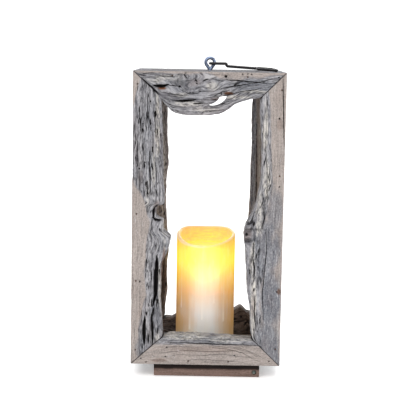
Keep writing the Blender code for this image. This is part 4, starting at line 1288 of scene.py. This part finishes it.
def wax_runs(turn, z):
    """How far runs and their beads stand out of the wall."""
    drips = np.zeros_like(turn)
    for at, bottom, wide, strength in WAX_RUNS:
        gap = np.abs((turn - at + math.pi) % (2 * math.pi) - math.pi) / wide
        above = np.maximum(z - bottom, 0)
        bead = 0.30 * np.exp(-above / (70 * MM)) + 1.2 * np.exp(-above / (9 * MM))
        run = np.clip(1 - gap**2, 0, 1) * bead * strength
        drips = np.maximum(drips, run * smooth_step(bottom - 2 * MM, bottom, z))
    return drips


def build_candle_wax(finishes):
    """The wax shell, with a melted rim that dips at the front, a hollowed top and thin drips."""
    bm = bmesh.new()
    points = [bm.verts.new((r, 0, z)) for r, z in candle_section()]
    edges = [bm.edges.new(pair) for pair in zip(points, points[1:] + points[:1])]
    bmesh.ops.spin(bm, geom=points + edges, cent=(0, 0, 0), axis=(0, 0, 1), angle=2 * math.pi,
                   steps=180, use_merge=True)
    bmesh.ops.remove_doubles(bm, verts=bm.verts, dist=1e-7)
    x, y, z = np.array([v.co for v in bm.verts]).T
    r = np.hypot(x, y)
    turn = np.arctan2(x, -y)  # 0 at the front
    wall_skin = CANDLE_RADIUS - 1.2 * MM

    # The outer wall gives way over its upper part, and the bowl only near the rim.
    dip = rim_dip(turn)
    outer_share = smooth_step(CRATER - 18 * MM, TALL, z)
    inner_share = smooth_step(CRATER + MM, TALL, z) ** 1.3
    share = np.where(r > wall_skin, outer_share, inner_share)
    z = z - dip * np.where((r < INNER - 8 * MM) | (z < CRATER - 20 * MM), 0, share)

    # Ripples in the crater, and runs down the outer wall.
    in_crater = (r < INNER + 0.5 * MM) & (z > CRATER - 5 * MM)
    ripple = layered_noise(x / 0.012, y / 0.012, z / 0.003, 5, 3)
    outside = smooth_step(CANDLE_RADIUS - 1.5 * MM, CANDLE_RADIUS - 0.2 * MM, r)
    drift = layered_noise(np.cos(turn) * 5, np.sin(turn) * 5, z / 0.09, 15, 3)
    drips = wax_runs(turn, z)
    inward = outside * (0.3 * MM + 0.3 * MM * drift - 0.5 * MM * drips) * smooth_step(0, 4 * MM, z)
    scale = 1 - (inward + in_crater * ripple * 0.35 * MM) / np.maximum(r, MM)
    for vert, px, py, pz in zip(bm.verts, x * scale, y * scale, z):
        vert.co = (px, py, pz)
    bmesh.ops.recalc_face_normals(bm, faces=bm.faces)
    bmesh.ops.translate(bm, verts=bm.verts, vec=(CANDLE_X, 0, CANDLE_LOW.z))

    # A pale band follows the rim: widest inside on the left, and lost in the glow at the front.
    crater = (r < wall_skin) & (z > CRATER - 5 * MM)
    left_share = np.exp(-((turn + 1.2) / 0.55) ** 2)
    band = np.where(crater, (1.8 + 10 * left_share) * MM, (2.6 + 3 * left_share) * MM)
    rim = (1 - smooth_step(0.4, 1.0, (TALL - dip - z) / band)) * (r > INNER - 1.6 * MM)
    rim = rim * (0.85 - 0.55 * np.exp(-((turn - 0.2) / 0.7) ** 2))
    candle = mesh_object("melted_candle_wax", bm, 60)
    mark(candle.data, crater=crater, drips=drips * outside * 1.6, rim=rim)
    stand_for(candle, "candle", finishes, "wax", "candle_wax")


# ---------------------------------------------------------------- finishes on the CAD nodes


def build_finishes():
    return {
        "front_driftwood": driftwood("front_driftwood", (172, 170, 172), (128, 127, 131), (62, 61, 66),
                                     (150, 141, 136), (98, 62, 40)),
        "rear_driftwood": driftwood("rear_driftwood", (168, 160, 158), (124, 116, 113), (56, 50, 50),
                                    (132, 122, 116), (66, 50, 42)),
        "side_driftwood": driftwood("side_driftwood", (174, 171, 171), (131, 128, 129), (62, 60, 64),
                                    (150, 141, 136), (104, 70, 48)),
        "top_wood": driftwood("top_wood", (122, 123, 129), (94, 95, 101), (58, 57, 61),
                              (100, 100, 104), (84, 70, 60)),
        "foot_wood": driftwood("foot_wood", (138, 118, 110), (104, 82, 74), (56, 40, 34),
                               (116, 96, 88), (58, 34, 22)),
        "end_grain": end_grain(),
        "zinc_wire": zinc_wire(),
        "black_wire": black_wire(),
        "brad_steel": rusty_steel("brad_steel", (58, 54, 54), (92, 52, 34)),
        "screw_steel": rusty_steel("screw_steel", (168, 168, 172), (128, 112, 98)),
        "wax": candle_wax(),
        "ivory_plastic": moulded("ivory_plastic", (226, 214, 190), (236, 226, 204)),
        "cell_case": moulded("cell_case", (30, 31, 35), (52, 54, 60), 0.35),
        "contact_metal": rusty_steel("contact_metal", (206, 206, 210), (176, 174, 170)),
        "black_plastic": moulded("black_plastic", (22, 22, 24), (34, 34, 36)),
        "circuit_laminate": moulded("circuit_laminate", (28, 84, 48), (38, 104, 60), 0.4),
        "led_epoxy": moulded("led_epoxy", (250, 214, 130), (255, 232, 160), 0.2),
    }


def finish_nodes(finishes):
    """Every CAD node takes its record slot's finish."""
    for part in frame["record"]["subparts"]:
        mesh = NODES[part["node"]].data
        mesh.materials.clear()
        mesh.materials.append(finishes[part["material_slot"]])


# ---------------------------------------------------------------- studio


LIGHTS = {  # place, size and power
    "key_light": ((-0.9, -1.6, 1.7), 1.0, 22),
    "fill_light": ((1.5, -0.9, 1.0), 1.2, 7),
    "top_light": ((0.1, 0.1, 2.2), 1.6, 22),
    "back_light": ((0.4, 1.9, 1.2), 1.4, 14),
}
LIT_PLACE = Vector((0, 0, 0.2))  # the lights point here
SKY, SEEN_SKY = 0.62, 1.05  # the sky's strength as light, and as the camera sees it


def build_floor():
    """A pale floor that sweeps up into a backdrop."""
    bm = bmesh.new()
    profile = [(y, 0.0) for y in (-3.0, -1.5, 0.0, 1.0, 1.6)]
    profile += [(1.6 + 1.2 * math.sin(a), 1.2 * (1 - math.cos(a))) for a in np.linspace(0.1, math.pi / 2, 14)]
    profile += [(2.8, 2.2), (2.8, 4.0)]
    line = [bm.verts.new((-4, y, z)) for y, z in profile]
    edges = [bm.edges.new(pair) for pair in zip(line, line[1:])]
    grown = bmesh.ops.extrude_edge_only(bm, edges=edges)["geom"]
    bmesh.ops.translate(bm, verts=[g for g in grown if isinstance(g, bmesh.types.BMVert)], vec=(8, 0, 0))
    floor = mesh_object("pale_floor", bm)
    paint = Finish("pale_floor", roughness=0.95, specular_ior_level=0.1,
                   emission_color=(1.0, 1.0, 1.0), emission_strength=0.3)
    shade = paint.noise(paint.object_place(), 3.0, 2.0)
    paint.feed("Base Color", paint.ramp(shade, (0.3, (0.95, 0.95, 0.95)), (0.7, (0.97, 0.97, 0.97))))
    floor.data.materials.append(paint.material)


def build_sky():
    """An even white sky, a little brighter to the camera than as a light."""
    world = bpy.data.worlds.new("studio")
    bpy.context.scene.world = world
    world.use_nodes = True
    tree = world.node_tree
    soft, white = tree.nodes["Background"], tree.nodes.new("ShaderNodeBackground")
    for sky, strength in ((soft, SKY), (white, SEEN_SKY)):
        sky.inputs["Color"].default_value = (1.0, 1.0, 1.0, 1.0)
        sky.inputs["Strength"].default_value = strength
    path = tree.nodes.new("ShaderNodeLightPath")
    join = tree.nodes.new("ShaderNodeMixShader")
    tree.links.new(path.outputs["Is Camera Ray"], join.inputs[0])
    tree.links.new(soft.outputs[0], join.inputs[1])
    tree.links.new(white.outputs[0], join.inputs[2])
    tree.links.new(join.outputs[0], tree.nodes["World Output"].inputs[0])


def build_lights():
    for name, (place, size, power) in LIGHTS.items():
        light = bpy.data.lights.new(name, "AREA")
        light.shape = "DISK"
        light.size = size
        light.energy = power
        lamp = bpy.data.objects.new(name, light)
        bpy.context.scene.collection.objects.link(lamp)
        lamp.location = place
        lamp.rotation_euler = (LIT_PLACE - Vector(place)).to_track_quat("-Z", "Y").to_euler()


LENS = 99.66
CAMERA_PLACE = (-0.0016, -1.5008, 0.4188)
CAMERA_TURNS = (("Z", -0.08), ("X", 82.048), ("Z", 0.99))  # pan, tilt and roll, in degrees


def build_camera():
    data = bpy.data.cameras.new("camera")
    data.lens = LENS
    data.sensor_width = 36
    data.clip_start = 0.05
    camera = bpy.data.objects.new("camera", data)
    bpy.context.scene.collection.objects.link(camera)
    pan, tilt, roll = (Matrix.Rotation(math.radians(angle), 4, axis) for axis, angle in CAMERA_TURNS)
    camera.matrix_world = Matrix.Translation(CAMERA_PLACE) @ (pan @ tilt @ roll)
    bpy.context.scene.camera = camera


bpy.context.scene.view_settings.view_transform = "Standard"
FINISHES = build_finishes()
finish_nodes(FINISHES)
build_frames(FINISHES)
build_slabs(FINISHES)
build_eye(FINISHES)
build_bail(FINISHES)
build_candle_wax(FINISHES)
build_floor()
build_sky()
build_lights()
build_camera()
